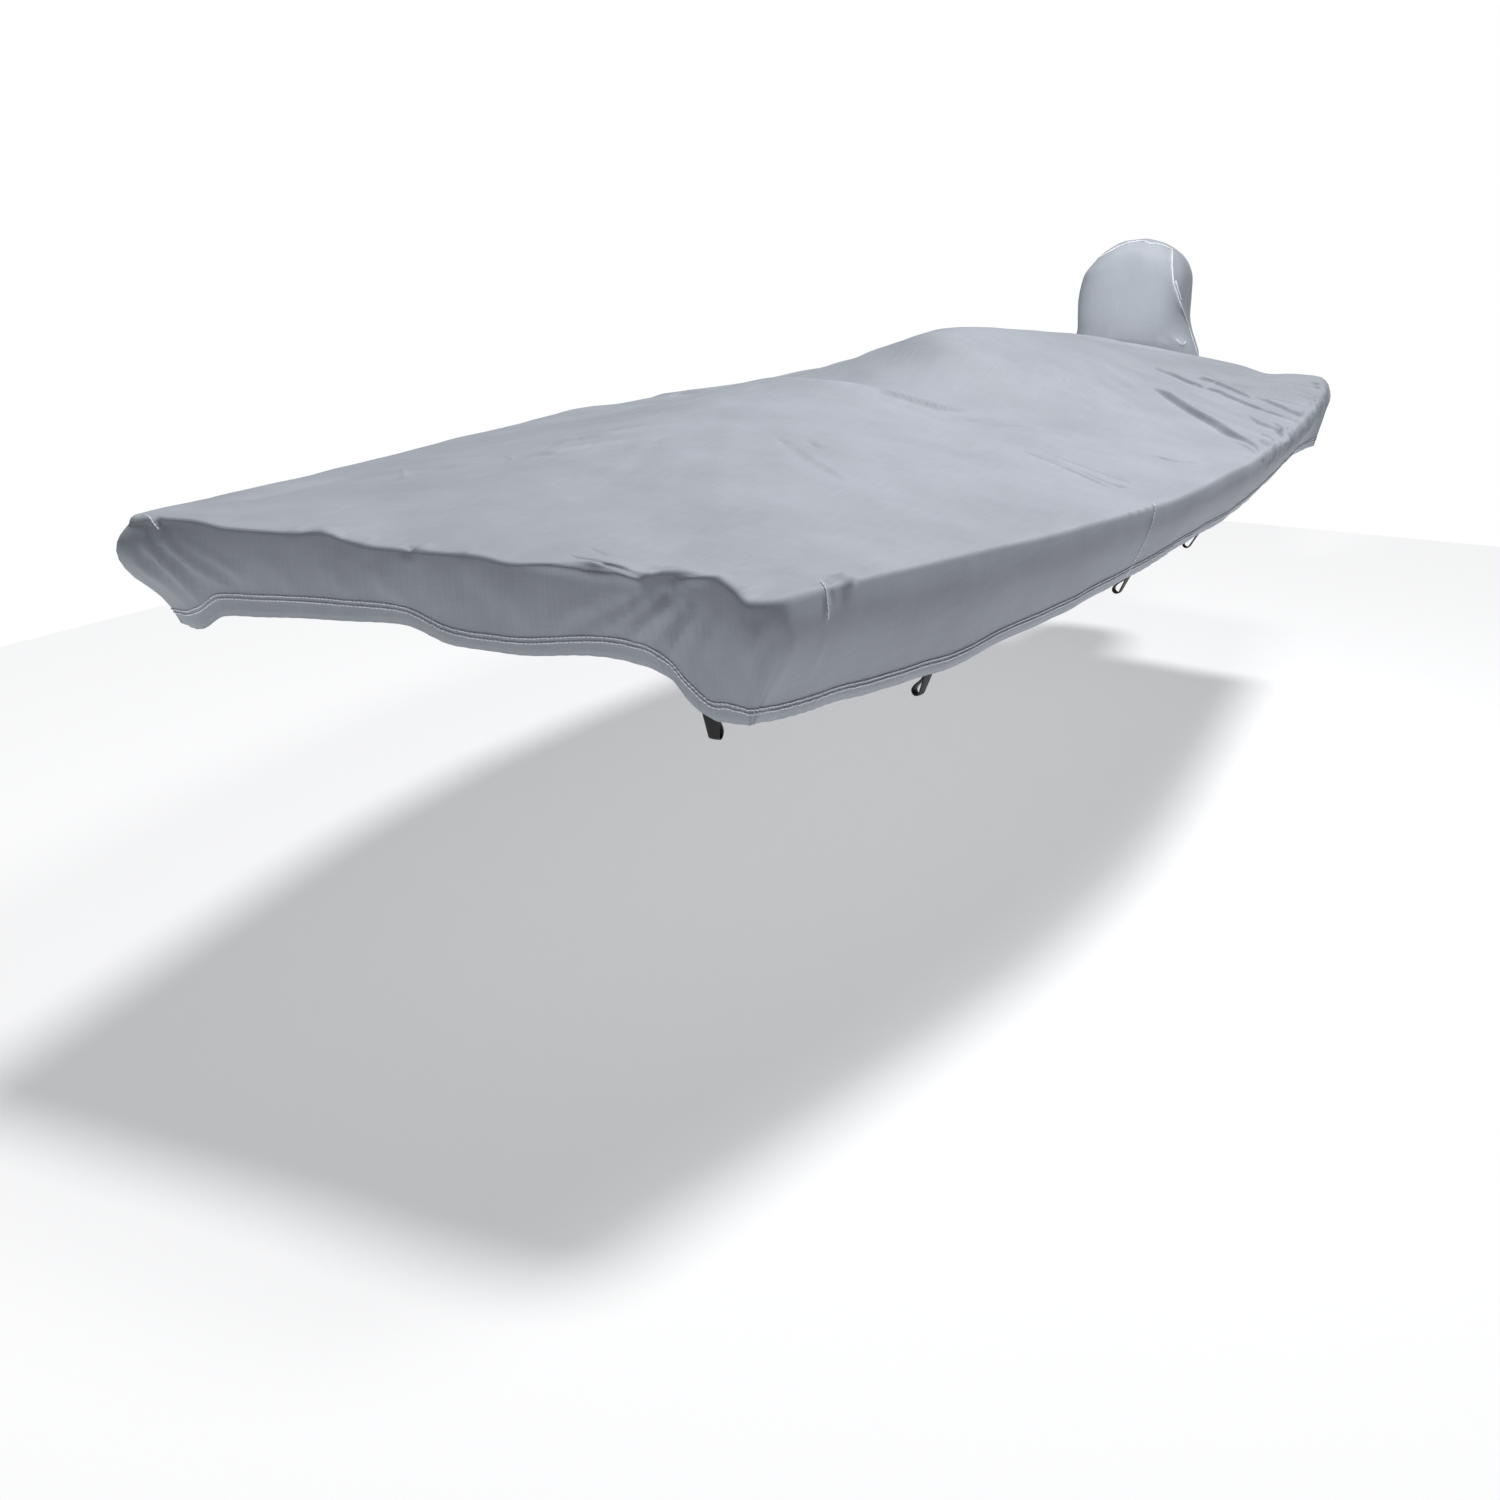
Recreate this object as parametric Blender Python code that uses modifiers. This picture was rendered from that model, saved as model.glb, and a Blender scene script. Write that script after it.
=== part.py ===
"""Fitted cover for a small flat-bowed boat, hung in the shape that the boat under it gives.

The cover is one big sheet (deck and skirts), a hood for the outboard motor sewn on behind it,
and webbing loops sewn inside its hem. The boat itself is not modelled.
Units are metres. While a piece is shaped, X points to port, Y runs aft from the middle of the
bow edge and Z is measured up from the boat's rim. At the end everything is shifted, so that
the origin lies just under the cloth where the aft support holds it up.
"""
import math

import bmesh
import bpy
import numpy as np
from mathutils import Matrix, Vector
from mathutils.bvhtree import BVHTree

# ---------------------------------------------------------------- driving dimensions
LENGTH = 4.41            # bow edge to the transom's corners
SHEET = 0.002            # thickness of the cloth
GAP = 0.0003             # space between pieces that touch
EDGE_ROLL = 0.022        # radius in which the cloth turns over the rim
BOW_CORNER = 0.055       # plan radius of the bow corners
STERN_CORNER = 0.055     # plan radius of the transom corners
STERN_BULGE = 0.05       # how far the motor pushes the middle of the transom edge aft
STERN_FLAT = 0.36        # half width of that bulge's straight middle
STERN_EASE = 0.74        # where the bulge has died out
HEM_BAND = 0.030         # depth of the turned and sewn hem

# The cloth over the boat, in stations from bow to stern.
# crest_z is the height of the middle of the deck, crest_x its side shift, crest_half half the
# width of its flat top, sag the power that hollows the slope from the crest down to the rim,
# and round_off the share of the half width over which the crest is rounded.
STATION_COLUMNS = ("y", "half_width", "rim_z", "crest_z", "crest_x", "crest_half", "sag", "round_off")
STATIONS = (
    (0.000, 0.652, -0.004, 0.006, 0.00, 0.10, 1.05, 0.30),
    (0.551, 0.757, -0.016, 0.052, 0.00, 0.08, 1.10, 0.26),
    (1.103, 0.860, -0.026, 0.101, -0.02, 0.06, 1.20, 0.20),
    (1.500, 0.922, -0.027, 0.133, -0.05, 0.06, 1.30, 0.12),
    (1.790, 0.949, -0.023, 0.154, -0.07, 0.07, 1.40, 0.05),
    (1.880, 0.955, -0.021, 0.144, -0.06, 0.07, 1.40, 0.06),
    (2.050, 0.964, -0.017, 0.100, -0.02, 0.05, 1.25, 0.14),
    (2.205, 0.974, -0.015, 0.098, 0.00, 0.03, 1.25, 0.16),
    (2.420, 0.970, -0.017, 0.158, 0.00, 0.03, 1.45, 0.12),
    (2.600, 0.963, -0.018, 0.232, 0.00, 0.02, 1.75, 0.06),
    (2.756, 0.959, -0.019, 0.238, 0.00, 0.02, 1.60, 0.07),
    (3.308, 0.927, -0.021, 0.209, 0.00, 0.04, 1.30, 0.10),
    (3.859, 0.891, -0.008, 0.172, -0.02, 0.05, 1.25, 0.12),
    (4.200, 0.866, 0.014, 0.142, -0.03, 0.06, 1.50, 0.13),
    (4.355, 0.852, 0.040, 0.124, -0.04, 0.08, 1.90, 0.14),
    (4.470, 0.845, 0.040, 0.114, -0.04, 0.08, 1.90, 0.14),
)

# The hem. inset is how far it is drawn in under the rim, belly how far the skirt stands out
# between rim and hem.
SIDE_HEM_COLUMNS = ("y", "hem_z", "inset", "belly")
SIDE_HEM = (
    (0.016, -0.226, 0.072, 0.014),
    (0.200, -0.232, 0.052, 0.012),
    (0.600, -0.238, 0.040, 0.010),
    (0.850, -0.224, 0.040, 0.008),
    (1.300, -0.196, 0.043, 0.006),
    (1.600, -0.178, 0.046, 0.006),
    (2.000, -0.166, 0.052, 0.006),
    (2.500, -0.164, 0.055, 0.006),
    (3.000, -0.162, 0.055, 0.006),
    (3.600, -0.168, 0.055, 0.008),
    (4.100, -0.190, 0.045, 0.008),
    (4.394, -0.208, 0.026, 0.006),
)
BOW_HEM_COLUMNS = ("x", "hem_z", "inset", "belly")
BOW_HEM = (
    (-0.636, -0.205, 0.095, 0.040),
    (-0.560, -0.210, 0.070, 0.028),
    (-0.507, -0.200, 0.048, 0.016),
    (-0.440, -0.166, 0.032, 0.008),
    (-0.360, -0.158, 0.026, 0.006),
    (-0.250, -0.147, 0.022, 0.004),
    (-0.050, -0.134, 0.020, 0.004),
    (0.060, -0.156, 0.020, 0.004),
    (0.160, -0.158, 0.022, 0.004),
    (0.350, -0.141, 0.026, 0.006),
    (0.425, -0.149, 0.030, 0.008),
    (0.465, -0.165, 0.034, 0.010),
    (0.502, -0.207, 0.042, 0.010),
    (0.546, -0.228, 0.050, 0.010),
    (0.636, -0.228, 0.060, 0.010),
)
STARBOARD_TUCK = 0.045   # how much further the starboard bow corner's hem is drawn in
STARBOARD_LIFT = 0.020   # and how much higher it hangs
TUCK_FULL = 0.05         # how far aft that holds in full
TUCK_REACH = 0.70        # where it has died out along the side
CORNER_BLEND = (0.35, 0.65)      # share of a corner's turn over which end and side hems blend
STERN_HEM_COLUMNS = ("x", "hem_z", "inset", "belly")
STERN_HEM = (
    (-0.832, -0.208, 0.026, 0.006),
    (-0.500, -0.196, 0.012, 0.003),
    (-0.360, -0.190, 0.000, 0.000),
    (0.360, -0.190, 0.000, 0.000),
    (0.500, -0.196, 0.012, 0.003),
    (0.832, -0.208, 0.026, 0.006),
)

# Folds of the deck: a soft ridge (height above zero) or trough (below) between two places.
# Columns: x_from, y_from, x_to, y_to, half_width, height.
FOLDS = (
    (0.36, 3.62, 0.90, 3.06, 0.055, -0.012),
    (0.44, 3.74, 0.93, 3.24, 0.050, 0.009),
    (0.42, 4.05, 0.90, 3.52, 0.050, -0.010),
    (0.48, 4.18, 0.88, 3.76, 0.045, 0.008),
    (-0.38, 3.66, -0.90, 3.14, 0.055, -0.010),
    (-0.46, 3.80, -0.92, 3.34, 0.050, 0.008),
    (-0.44, 4.10, -0.88, 3.62, 0.050, -0.008),
    (0.62, 4.00, 0.63, 4.60, 0.070, -0.016),
    (-0.62, 4.00, -0.63, 4.60, 0.070, -0.014),
)

FOLD_START = (-0.15, 0.35)       # a fold rises over this share of its run
FOLD_END = (1.15, 0.85)  # and dies out from the second share to the first
FOLD_EDGE = 0.06         # distance from the rim over which folds flatten

# Where slack cloth rides up above the bow edge, most of all beside the port corner's dart.
BOW_RISE_COLUMNS = ("x", "rise")
BOW_RISE = (
    (-0.652, 0.000), (-0.610, 0.002), (-0.550, 0.008), (-0.480, 0.009), (-0.400, 0.001),
    (-0.260, 0.003), (-0.200, 0.011), (-0.140, 0.002), (-0.100, -0.003), (0.000, 0.000),
    (0.120, 0.003), (0.175, -0.002), (0.230, 0.004), (0.290, 0.013), (0.350, 0.019),
    (0.440, 0.021), (0.555, 0.023), (0.585, 0.011), (0.610, -0.008), (0.652, -0.003),
)
BOW_RISE_REACH = 0.09    # distance aft over which that dies out

# How fine the sheet's faces are: number of steps over each stretch of the deck.
ROW_STRETCHES = ((0.055, 0.500, 4), (0.500, 1.500, 8), (1.500, 2.800, 15), (2.800, 4.355, 19))
CORNER_STEPS = 2         # steps in each half of a corner's turn
COLUMN_STRETCHES = ((0.0, 0.7, 7), (0.7, 1.0, 4))    # steps from the middle, as shares of half
ROLL_STEPS = 3           # steps in the turn over the rim
SKIRT_STEPS = 4          # steps from the turn down to the hem's band
SLOT_TOP_STEP = 2        # the bracket slot is cut from this step of the skirt down
BELLY_HIGH = 0.65        # below 1 puts a skirt's fullest place above its middle height
INSET_LOW = 1.3          # above 1 draws a skirt in mostly near its hem

# The motor's hood, in level sections from the dome down. front and back are measured from its
# middle line, and level sections are rounded rectangles of that width and length.
HOOD_X = 0.060           # side shift of the cowl's middle
HOOD_Y = 4.720           # cowl's middle, behind the bow edge
HOOD_COLUMNS = ("z", "front_width", "back_width", "front", "back",
                "front_shift", "back_shift", "squareness")
HOOD = (
    (0.480, 0.026, 0.022, 0.034, 0.030, 0.010, 0.000, 2.1),
    (0.473, 0.068, 0.058, 0.088, 0.078, 0.010, 0.000, 2.3),
    (0.450, 0.120, 0.106, 0.148, 0.132, 0.008, 0.002, 2.6),
    (0.405, 0.168, 0.150, 0.188, 0.172, 0.006, 0.006, 3.1),
    (0.340, 0.200, 0.178, 0.213, 0.203, -0.002, -0.004, 3.8),
    (0.270, 0.208, 0.180, 0.222, 0.212, -0.002, -0.008, 4.4),
    (0.200, 0.212, 0.176, 0.234, 0.214, 0.006, -0.006, 4.6),
    (0.150, 0.220, 0.180, 0.246, 0.216, 0.020, 0.000, 4.6),
    (0.105, 0.236, 0.186, 0.268, 0.218, 0.036, 0.006, 5.0),
    (0.060, 0.246, 0.192, 0.270, 0.220, 0.046, 0.012, 5.2),
    (-0.020, 0.240, 0.190, 0.266, 0.222, 0.042, 0.012, 5.0),
    (-0.110, 0.226, 0.184, 0.252, 0.216, 0.030, 0.010, 4.4),
    (-0.200, 0.206, 0.172, 0.246, 0.204, 0.016, 0.004, 4.0),
)
HOOD_COLUMN_COUNT = 32
HOOD_LAP_Z = 0.042       # lower edge of the front panel, lapped behind the transom skirt
HOOD_BACK_Z = -0.200     # hem behind the motor
HOOD_ARCH = (-0.97, -0.80)       # sine of the angles between which the hem drops beside the bracket
HOOD_TOP_SHIFT = 0.010   # the dome's highest point, to port of the cowl's middle
HOOD_TOP_RISE = 0.002    # and above its smallest section
BRACKET_SLOT = (-0.120, 0.220)   # span of the slot cut in the transom skirt for the bracket

# Webbing loops sewn inside the hem of each side, which the tie-down lines hook into.
# Columns: name, x, y of the hem place that a loop is sewn to.
LOOPS = (
    ("fore", 0.750, 0.530),
    ("midship", 0.910, 1.420),
    ("aft", 0.960, 1.980),
)
BOW_LOOP = ("bow_corner", 0.530, 0.000)  # beside the port corner only
LOOP_WIDTH = 0.036       # across the sewn end
LOOP_FOOT_WIDTH = 0.018  # across the bottom, where a hook gathers the webbing
LOOP_DROP = 0.050        # how far a loop hangs below the hem
LOOP_TAB = 0.022         # height of its sewn end, inside the hem
LOOP_THICK = 0.0018      # one layer of webbing
LOOP_BAY = 0.015         # clear width at the bottom of the loop
LOOP_ARC_STEPS = 8
LOOP_NECK = -0.002       # height, from the hem's edge, at which the two layers part
LOOP_NECK_DROP = 0.006   # how far below the neck the clear space inside the loop begins
MERGE = 0.00001          # distance under which a curve's cap corners are welded
LOOP_START = 0.006       # distance inside the hem from which a loop is moved out to its seat
SEAT_SAMPLES = 31        # places, along and across the tab, where that distance is measured

SUPPORT_Y = 2.700        # where the aft support holds the deck up: the part's origin


class Stations:
    """A table whose columns are read at any place as smooth curves through its rows."""

    def __init__(self, columns, rows):
        self.values = {name: np.array([row[i] for row in rows]) for i, name in enumerate(columns)}
        self.place = self.values[columns[0]]

    def at(self, name, where):
        where = np.clip(np.asarray(where, dtype=float), self.place[0], self.place[-1])
        heights = self.values[name]
        widths = np.diff(self.place)
        slopes = np.diff(heights) / widths
        ends = np.zeros(len(heights))
        same_sign = slopes[:-1] * slopes[1:] > 0
        left = 2 * widths[1:] + widths[:-1]
        right = widths[1:] + 2 * widths[:-1]
        with np.errstate(divide="ignore", invalid="ignore"):
            middle = (left + right) / (left / slopes[:-1] + right / slopes[1:])
        ends[1:-1] = np.where(same_sign, middle, 0.0)
        ends[0] = slopes[0]
        ends[-1] = slopes[-1]
        cell = np.clip(np.searchsorted(self.place, where) - 1, 0, len(widths) - 1)
        t = (where - self.place[cell]) / widths[cell]
        rise = heights[cell] * (2 * t**3 - 3 * t**2 + 1) + heights[cell + 1] * (3 * t**2 - 2 * t**3)
        bend = ends[cell] * (t**3 - 2 * t**2 + t) + ends[cell + 1] * (t**3 - t**2)
        return rise + bend * widths[cell]


boat = Stations(STATION_COLUMNS, STATIONS)
side_hem = Stations(SIDE_HEM_COLUMNS, SIDE_HEM)
bow_hem = Stations(BOW_HEM_COLUMNS, BOW_HEM)
bow_rise = Stations(BOW_RISE_COLUMNS, BOW_RISE)
stern_hem = Stations(STERN_HEM_COLUMNS, STERN_HEM)
hood_sections = Stations(HOOD_COLUMNS, HOOD[::-1])


def smoothstep(low, high, value):
    t = np.clip((np.asarray(value, dtype=float) - low) / (high - low), 0.0, 1.0)
    return t * t * (3 - 2 * t)


def fold_height(x, y):
    """Sum of the deck's soft ridges and troughs at a place."""
    total = np.zeros(np.broadcast(x, y).shape)
    for x_from, y_from, x_to, y_to, half_width, height in FOLDS:
        run_x, run_y = x_to - x_from, y_to - y_from
        length = math.hypot(run_x, run_y)
        along = ((x - x_from) * run_x + (y - y_from) * run_y) / length**2
        across = ((x - x_from) * run_y - (y - y_from) * run_x) / length
        ends = smoothstep(*FOLD_START, along) * smoothstep(*FOLD_END, along)
        total = total + height * ends * np.exp(-((across / half_width) ** 2))
    return total


def deck_height(x, y):
    """Height of the stretched cloth over the place (x, y)."""
    half = boat.at("half_width", y)
    rim = boat.at("rim_z", y)
    crest = boat.at("crest_z", y)
    middle = boat.at("crest_x", y)
    flat = boat.at("crest_half", y)
    sag = boat.at("sag", y)
    soft = boat.at("round_off", y)
    off = x - middle
    reach = np.where(off > 0, half - middle, half + middle) - flat
    t = np.clip((np.abs(off) - flat) / reach, 0.0, 1.0)
    eased = (np.sqrt(t * t + soft * soft) - soft) / (np.sqrt(1 + soft * soft) - soft)
    height = rim + (crest - rim) * (1 - eased) ** sag
    edge_fade = smoothstep(0.0, FOLD_EDGE, half - np.abs(x))
    bow_fade = np.exp(-((y / BOW_RISE_REACH) ** 2))
    return height + fold_height(x, y) * edge_fade + bow_rise.at("rise", x) * bow_fade


def stern_edge(x):
    return LENGTH + STERN_BULGE * smoothstep(STERN_EASE, STERN_FLAT, np.abs(x))


def corner_point(angle, radius, at_stern):
    """Point of the plan outline in the turn of a port corner; 0 is on the end, 90 on the side."""
    inward = radius * (1 - math.cos(angle))
    y = LENGTH - inward if at_stern else inward
    return float(boat.at("half_width", y)) - radius + radius * math.sin(angle), y


def end_row(at_stern):
    """Plan outline of the bow or transom edge, from starboard to port."""
    radius = STERN_CORNER if at_stern else BOW_CORNER
    turn = [corner_point(math.radians(45) * k / CORNER_STEPS, radius, at_stern)
            for k in range(CORNER_STEPS + 1)]
    half = np.concatenate([np.linspace(start, end, steps, endpoint=False)
                           for start, end, steps in COLUMN_STRETCHES]) * turn[0][0]
    points = [(-x, y) for x, y in reversed(turn)]
    for x in np.concatenate([-half[:0:-1], half]):
        points.append((x, float(stern_edge(x)) if at_stern else 0.0))
    points.extend(turn)
    return np.array(points)


def side_column():
    """Plan outline of the port side, from the bow corner to the transom corner."""
    points = [corner_point(math.radians(45 + 45 * k / CORNER_STEPS), BOW_CORNER, False)
              for k in range(CORNER_STEPS)]
    for start, end, steps in ROW_STRETCHES:
        for y in np.linspace(start, end, steps, endpoint=False):
            points.append((float(boat.at("half_width", y)), y))
    points.extend(corner_point(math.radians(90 - 45 * k / CORNER_STEPS), STERN_CORNER, True)
                  for k in range(CORNER_STEPS + 1))
    return np.array(points)


def outline_ring():
    """Plan outline of the cover, once round, with the deck grid's number of rows and columns."""
    bow, stern = end_row(False), end_row(True)
    port = side_column()
    starboard = port * np.array([-1.0, 1.0])
    edge = np.concatenate([bow, port[1:], stern[-2::-1], starboard[-2:0:-1]])
    return edge, len(port), len(bow)


def plan_patch(edge, rows, columns):
    """Grid of plan points spanned inside a ring of edge points (a Coons patch)."""
    bow = edge[:columns]
    port = edge[columns - 1:columns + rows - 1]
    stern = edge[columns + rows - 2:2 * columns + rows - 2][::-1]
    starboard = np.concatenate([edge[:1], edge[2 * columns + rows - 3:][::-1]])
    u = (bow[:, 0] - bow[0, 0]) / (bow[-1, 0] - bow[0, 0])
    v = (port[:, 1] - port[0, 1]) / (port[-1, 1] - port[0, 1])
    u = u[None, :, None]
    v = v[:, None, None]
    ruled = (1 - v) * bow[None] + v * stern[None]
    across = (1 - u) * starboard[:, None] + u * port[:, None]
    corners = ((1 - v) * ((1 - u) * bow[0] + u * bow[-1])
               + v * ((1 - u) * stern[0] + u * stern[-1]))
    return ruled + across - corners


def ring_order(rows, columns):
    """Grid places around the deck's edge: bow to port, port side aft, transom, starboard side."""
    ring = [(0, i) for i in range(columns)]
    ring += [(j, columns - 1) for j in range(1, rows)]
    ring += [(rows - 1, i) for i in range(columns - 2, -1, -1)]
    ring += [(j, 0) for j in range(rows - 2, 0, -1)]
    return ring


def hem_at(x, y, outward):
    """Hem height, inset and belly at a place of the edge: the end and side tables, blended."""
    name = bow_hem if y < LENGTH / 2 else stern_hem
    share = float(smoothstep(*CORNER_BLEND, abs(outward[1])))
    values = []
    for column in ("hem_z", "inset", "belly"):
        end_value = float(name.at(column, x))
        side_value = float(side_hem.at(column, y))
        values.append(share * end_value + (1 - share) * side_value)
    if x < 0:
        tuck = (1 - share) * float(smoothstep(TUCK_REACH, TUCK_FULL, y))
        values[0] += STARBOARD_LIFT * tuck
        values[1] += STARBOARD_TUCK * tuck
    return values


def skirt_profile(x, y, outward):
    """Offsets (outward, height) of the cloth from the deck's edge over the rim to the hem."""
    hem_z, inset, belly = hem_at(x, y, outward)
    top = float(deck_height(np.array(x), np.array(y)))
    points = []
    for k in range(ROLL_STEPS):
        turn = math.radians(90) * k / ROLL_STEPS
        points.append((-EDGE_ROLL * (1 - math.sin(turn)), top - EDGE_ROLL * (1 - math.cos(turn))))
    start = top - EDGE_ROLL
    band_top = hem_z + HEM_BAND
    levels = [start + (band_top - start) * k / SKIRT_STEPS for k in range(SKIRT_STEPS + 1)]
    levels.append(hem_z)
    for z in levels:
        s = (start - z) / (start - hem_z)
        points.append((belly * math.sin(math.pi * s**BELLY_HIGH) - inset * s**INSET_LOW, z))
    return points


def sheet_grid():
    """All points of the cover's outer face: deck grid and skirt rows, with their faces."""
    edge, rows, columns = outline_ring()
    ring = ring_order(rows, columns)
    tangent = np.roll(edge, -1, axis=0) - np.roll(edge, 1, axis=0)
    tangent /= np.linalg.norm(tangent, axis=1)[:, None]
    outward = np.stack([tangent[:, 1], -tangent[:, 0]], axis=1)
    inner = plan_patch(edge - outward * EDGE_ROLL, rows, columns)
    heights = deck_height(inner[..., 0], inner[..., 1])
    points = [(x, y, z) for (x, y), z in zip(inner.reshape(-1, 2), heights.ravel())]
    faces = []
    for j in range(rows - 1):
        for i in range(columns - 1):
            a = j * columns + i
            faces.append((a, a + 1, a + columns + 1, a + columns))

    previous = [j * columns + i for j, i in ring]
    profiles = []
    for place, (x, y), normal in zip(ring, edge, outward):
        shift = heights[place] - float(deck_height(np.array(x), np.array(y)))
        profiles.append([(o, z + shift * max(0.0, 1 - k / ROLL_STEPS))
                         for k, (o, z) in enumerate(skirt_profile(x, y, normal))])
    count = len(ring)
    for k in range(1, len(profiles[0])):
        current = []
        for index, normal in enumerate(outward):
            out, z = profiles[index][k]
            x, y = edge[index] + normal * out
            current.append(len(points))
            points.append((x, y, z))
        for index in range(count):
            after = (index + 1) % count
            x_middle = (edge[index][0] + edge[after][0]) / 2
            at_stern = min(outward[index][1], outward[after][1]) > 0.9
            in_slot = BRACKET_SLOT[0] < x_middle < BRACKET_SLOT[1]
            if at_stern and in_slot and k >= ROLL_STEPS + SLOT_TOP_STEP:
                continue
            faces.append((previous[index], current[index], current[after], previous[after]))
        above, previous = previous, current
    band = ([Vector(points[k]) for k in above], [Vector(points[k]) for k in previous])
    return points, faces, band


def material(name, colour, roughness):
    made = bpy.data.materials.new(name)
    made.use_nodes = True
    shader = made.node_tree.nodes["Principled BSDF"]
    shader.inputs["Base Color"].default_value = (*colour, 1.0)
    shader.inputs["Roughness"].default_value = roughness
    return made


def add_object(name, mesh, collection, finish):
    made = bpy.data.objects.new(name, mesh)
    collection.objects.link(made)
    mesh.materials.append(finish)
    return made


def mesh_from(name, points, faces):
    mesh = bpy.data.meshes.new(name)
    mesh.from_pydata([Vector(p) for p in points], [], faces)
    work = bmesh.new()
    work.from_mesh(mesh)
    loose = [vertex for vertex in work.verts if not vertex.link_faces]
    bmesh.ops.delete(work, geom=loose, context="VERTS")
    bmesh.ops.recalc_face_normals(work, faces=work.faces)
    work.to_mesh(mesh)
    work.free()
    mesh.shade_smooth()
    return mesh


def thicken(piece, thickness, offset):
    """Give an open sheet its thickness; offset -1 keeps the modelled face as the outer one."""
    wall = piece.modifiers.new("cloth thickness", "SOLIDIFY")
    wall.thickness = thickness
    wall.offset = offset
    wall.use_even_offset = True


def make_body(collection, finish):
    points, faces, band = sheet_grid()
    body = add_object("cover_body", mesh_from("cover_body", points, faces), collection, finish)
    thicken(body, SHEET, -1.0)
    return body, band


def hood_point(z, angle):
    """Point of the hood at a height; angle 0 is to port and 90 degrees is aft."""
    section = {name: float(hood_sections.at(name, z)) for name in HOOD_COLUMNS[1:]}
    power = 2 / section["squareness"]
    cosine, sine = math.cos(angle), math.sin(angle)
    across = math.copysign(abs(cosine)**power, cosine)
    along = math.copysign(abs(sine)**power, sine)
    aft = (1 + along) / 2
    half_width = section["front_width"] * (1 - aft) + section["back_width"] * aft
    shift = section["front_shift"] * (1 - aft) + section["back_shift"] * aft
    reach = section["back"] if sine > 0 else section["front"]
    return HOOD_X + shift + half_width * across, HOOD_Y + reach * along, z


def hood_hem(angle):
    """Height of the hood's lower edge: an arch over the bracket in front, low behind the motor."""
    behind = float(smoothstep(*HOOD_ARCH, math.sin(angle)))
    return HOOD_LAP_Z + (HOOD_BACK_Z - HOOD_LAP_Z) * behind


def make_hood(collection, finish):
    angles = [2 * math.pi * k / HOOD_COLUMN_COUNT for k in range(HOOD_COLUMN_COUNT)]
    wall_face = LENGTH + STERN_BULGE + GAP
    points, faces = [], []
    levels = [row[0] for row in HOOD]
    low = levels[-1]
    for z in levels:
        for angle in angles:
            scale = (hood_hem(angle) - levels[0]) / (low - levels[0])
            x, y, height = hood_point(levels[0] + (z - levels[0]) * scale, angle)
            points.append((x, max(y, wall_face), height))
    count = len(angles)
    for row in range(len(levels) - 1):
        for k in range(count):
            a, b = row * count + k, row * count + (k + 1) % count
            faces.append((a, b, b + count, a + count))
    points.append((HOOD_X + HOOD_TOP_SHIFT, HOOD_Y, levels[0] + HOOD_TOP_RISE))
    faces.extend((k, len(points) - 1, (k + 1) % count) for k in range(count))
    hood = add_object("motor_hood", mesh_from("motor_hood", points, faces), collection, finish)
    thicken(hood, SHEET, -1.0)
    return hood


def hem_cell(band, x, y):
    """The hem band's face nearest to a place: its low edge's middle, and its up and inward axes."""
    tops, hems = band
    count = len(tops)
    middles = [(tops[k] + tops[(k + 1) % count] + hems[k] + hems[(k + 1) % count]) / 4
               for k in range(count)]
    nearest = min(range(count), key=lambda k: (middles[k][0] - x)**2 + (middles[k][1] - y)**2)
    after = (nearest + 1) % count
    along = (tops[after] + hems[after] - tops[nearest] - hems[nearest]).normalized()
    up = (tops[nearest] + tops[after] - hems[nearest] - hems[after]).normalized()
    inward = along.cross(up).normalized()
    if inward.dot(Vector((middles[nearest][0], middles[nearest][1] - LENGTH / 2, 0))) > 0:
        inward.negate()
    return (hems[nearest] + hems[after]) / 2, up, inward


def loop_outlines():
    """Side view of a loop, as (inward, up) points: its outer edge and the hole inside it."""
    bay = LOOP_BAY / 2
    centre_in = LOOP_THICK + bay
    centre_up = -LOOP_DROP + LOOP_THICK + bay

    def half_turn(radius):
        return [(centre_in - radius * math.cos(math.pi * k / LOOP_ARC_STEPS),
                 centre_up - radius * math.sin(math.pi * k / LOOP_ARC_STEPS))
                for k in range(LOOP_ARC_STEPS + 1)]

    outer = [(0.0, LOOP_TAB)] + half_turn(bay + LOOP_THICK)
    outer += [(2 * LOOP_THICK, LOOP_NECK), (2 * LOOP_THICK, LOOP_TAB)]
    hole = half_turn(bay) + [(LOOP_THICK, LOOP_NECK - LOOP_NECK_DROP)]
    return outer, hole


def seat_on_hem(low_edge, along, up, inward, body_tree):
    """Point below the tab of a loop whose sewn end lies a gap away from the hem's inner face."""
    start = low_edge + inward * LOOP_START
    reach = []
    for across in np.linspace(-LOOP_WIDTH / 2, LOOP_WIDTH / 2, SEAT_SAMPLES):
        for height in np.linspace(-LOOP_TAB / 2, LOOP_TAB, SEAT_SAMPLES):
            hit = body_tree.ray_cast(start + along * across + up * height, -inward, 2 * LOOP_START)
            if hit[0] is not None:
                reach.append(hit[3])
    return start - inward * (min(reach) - GAP)


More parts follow.
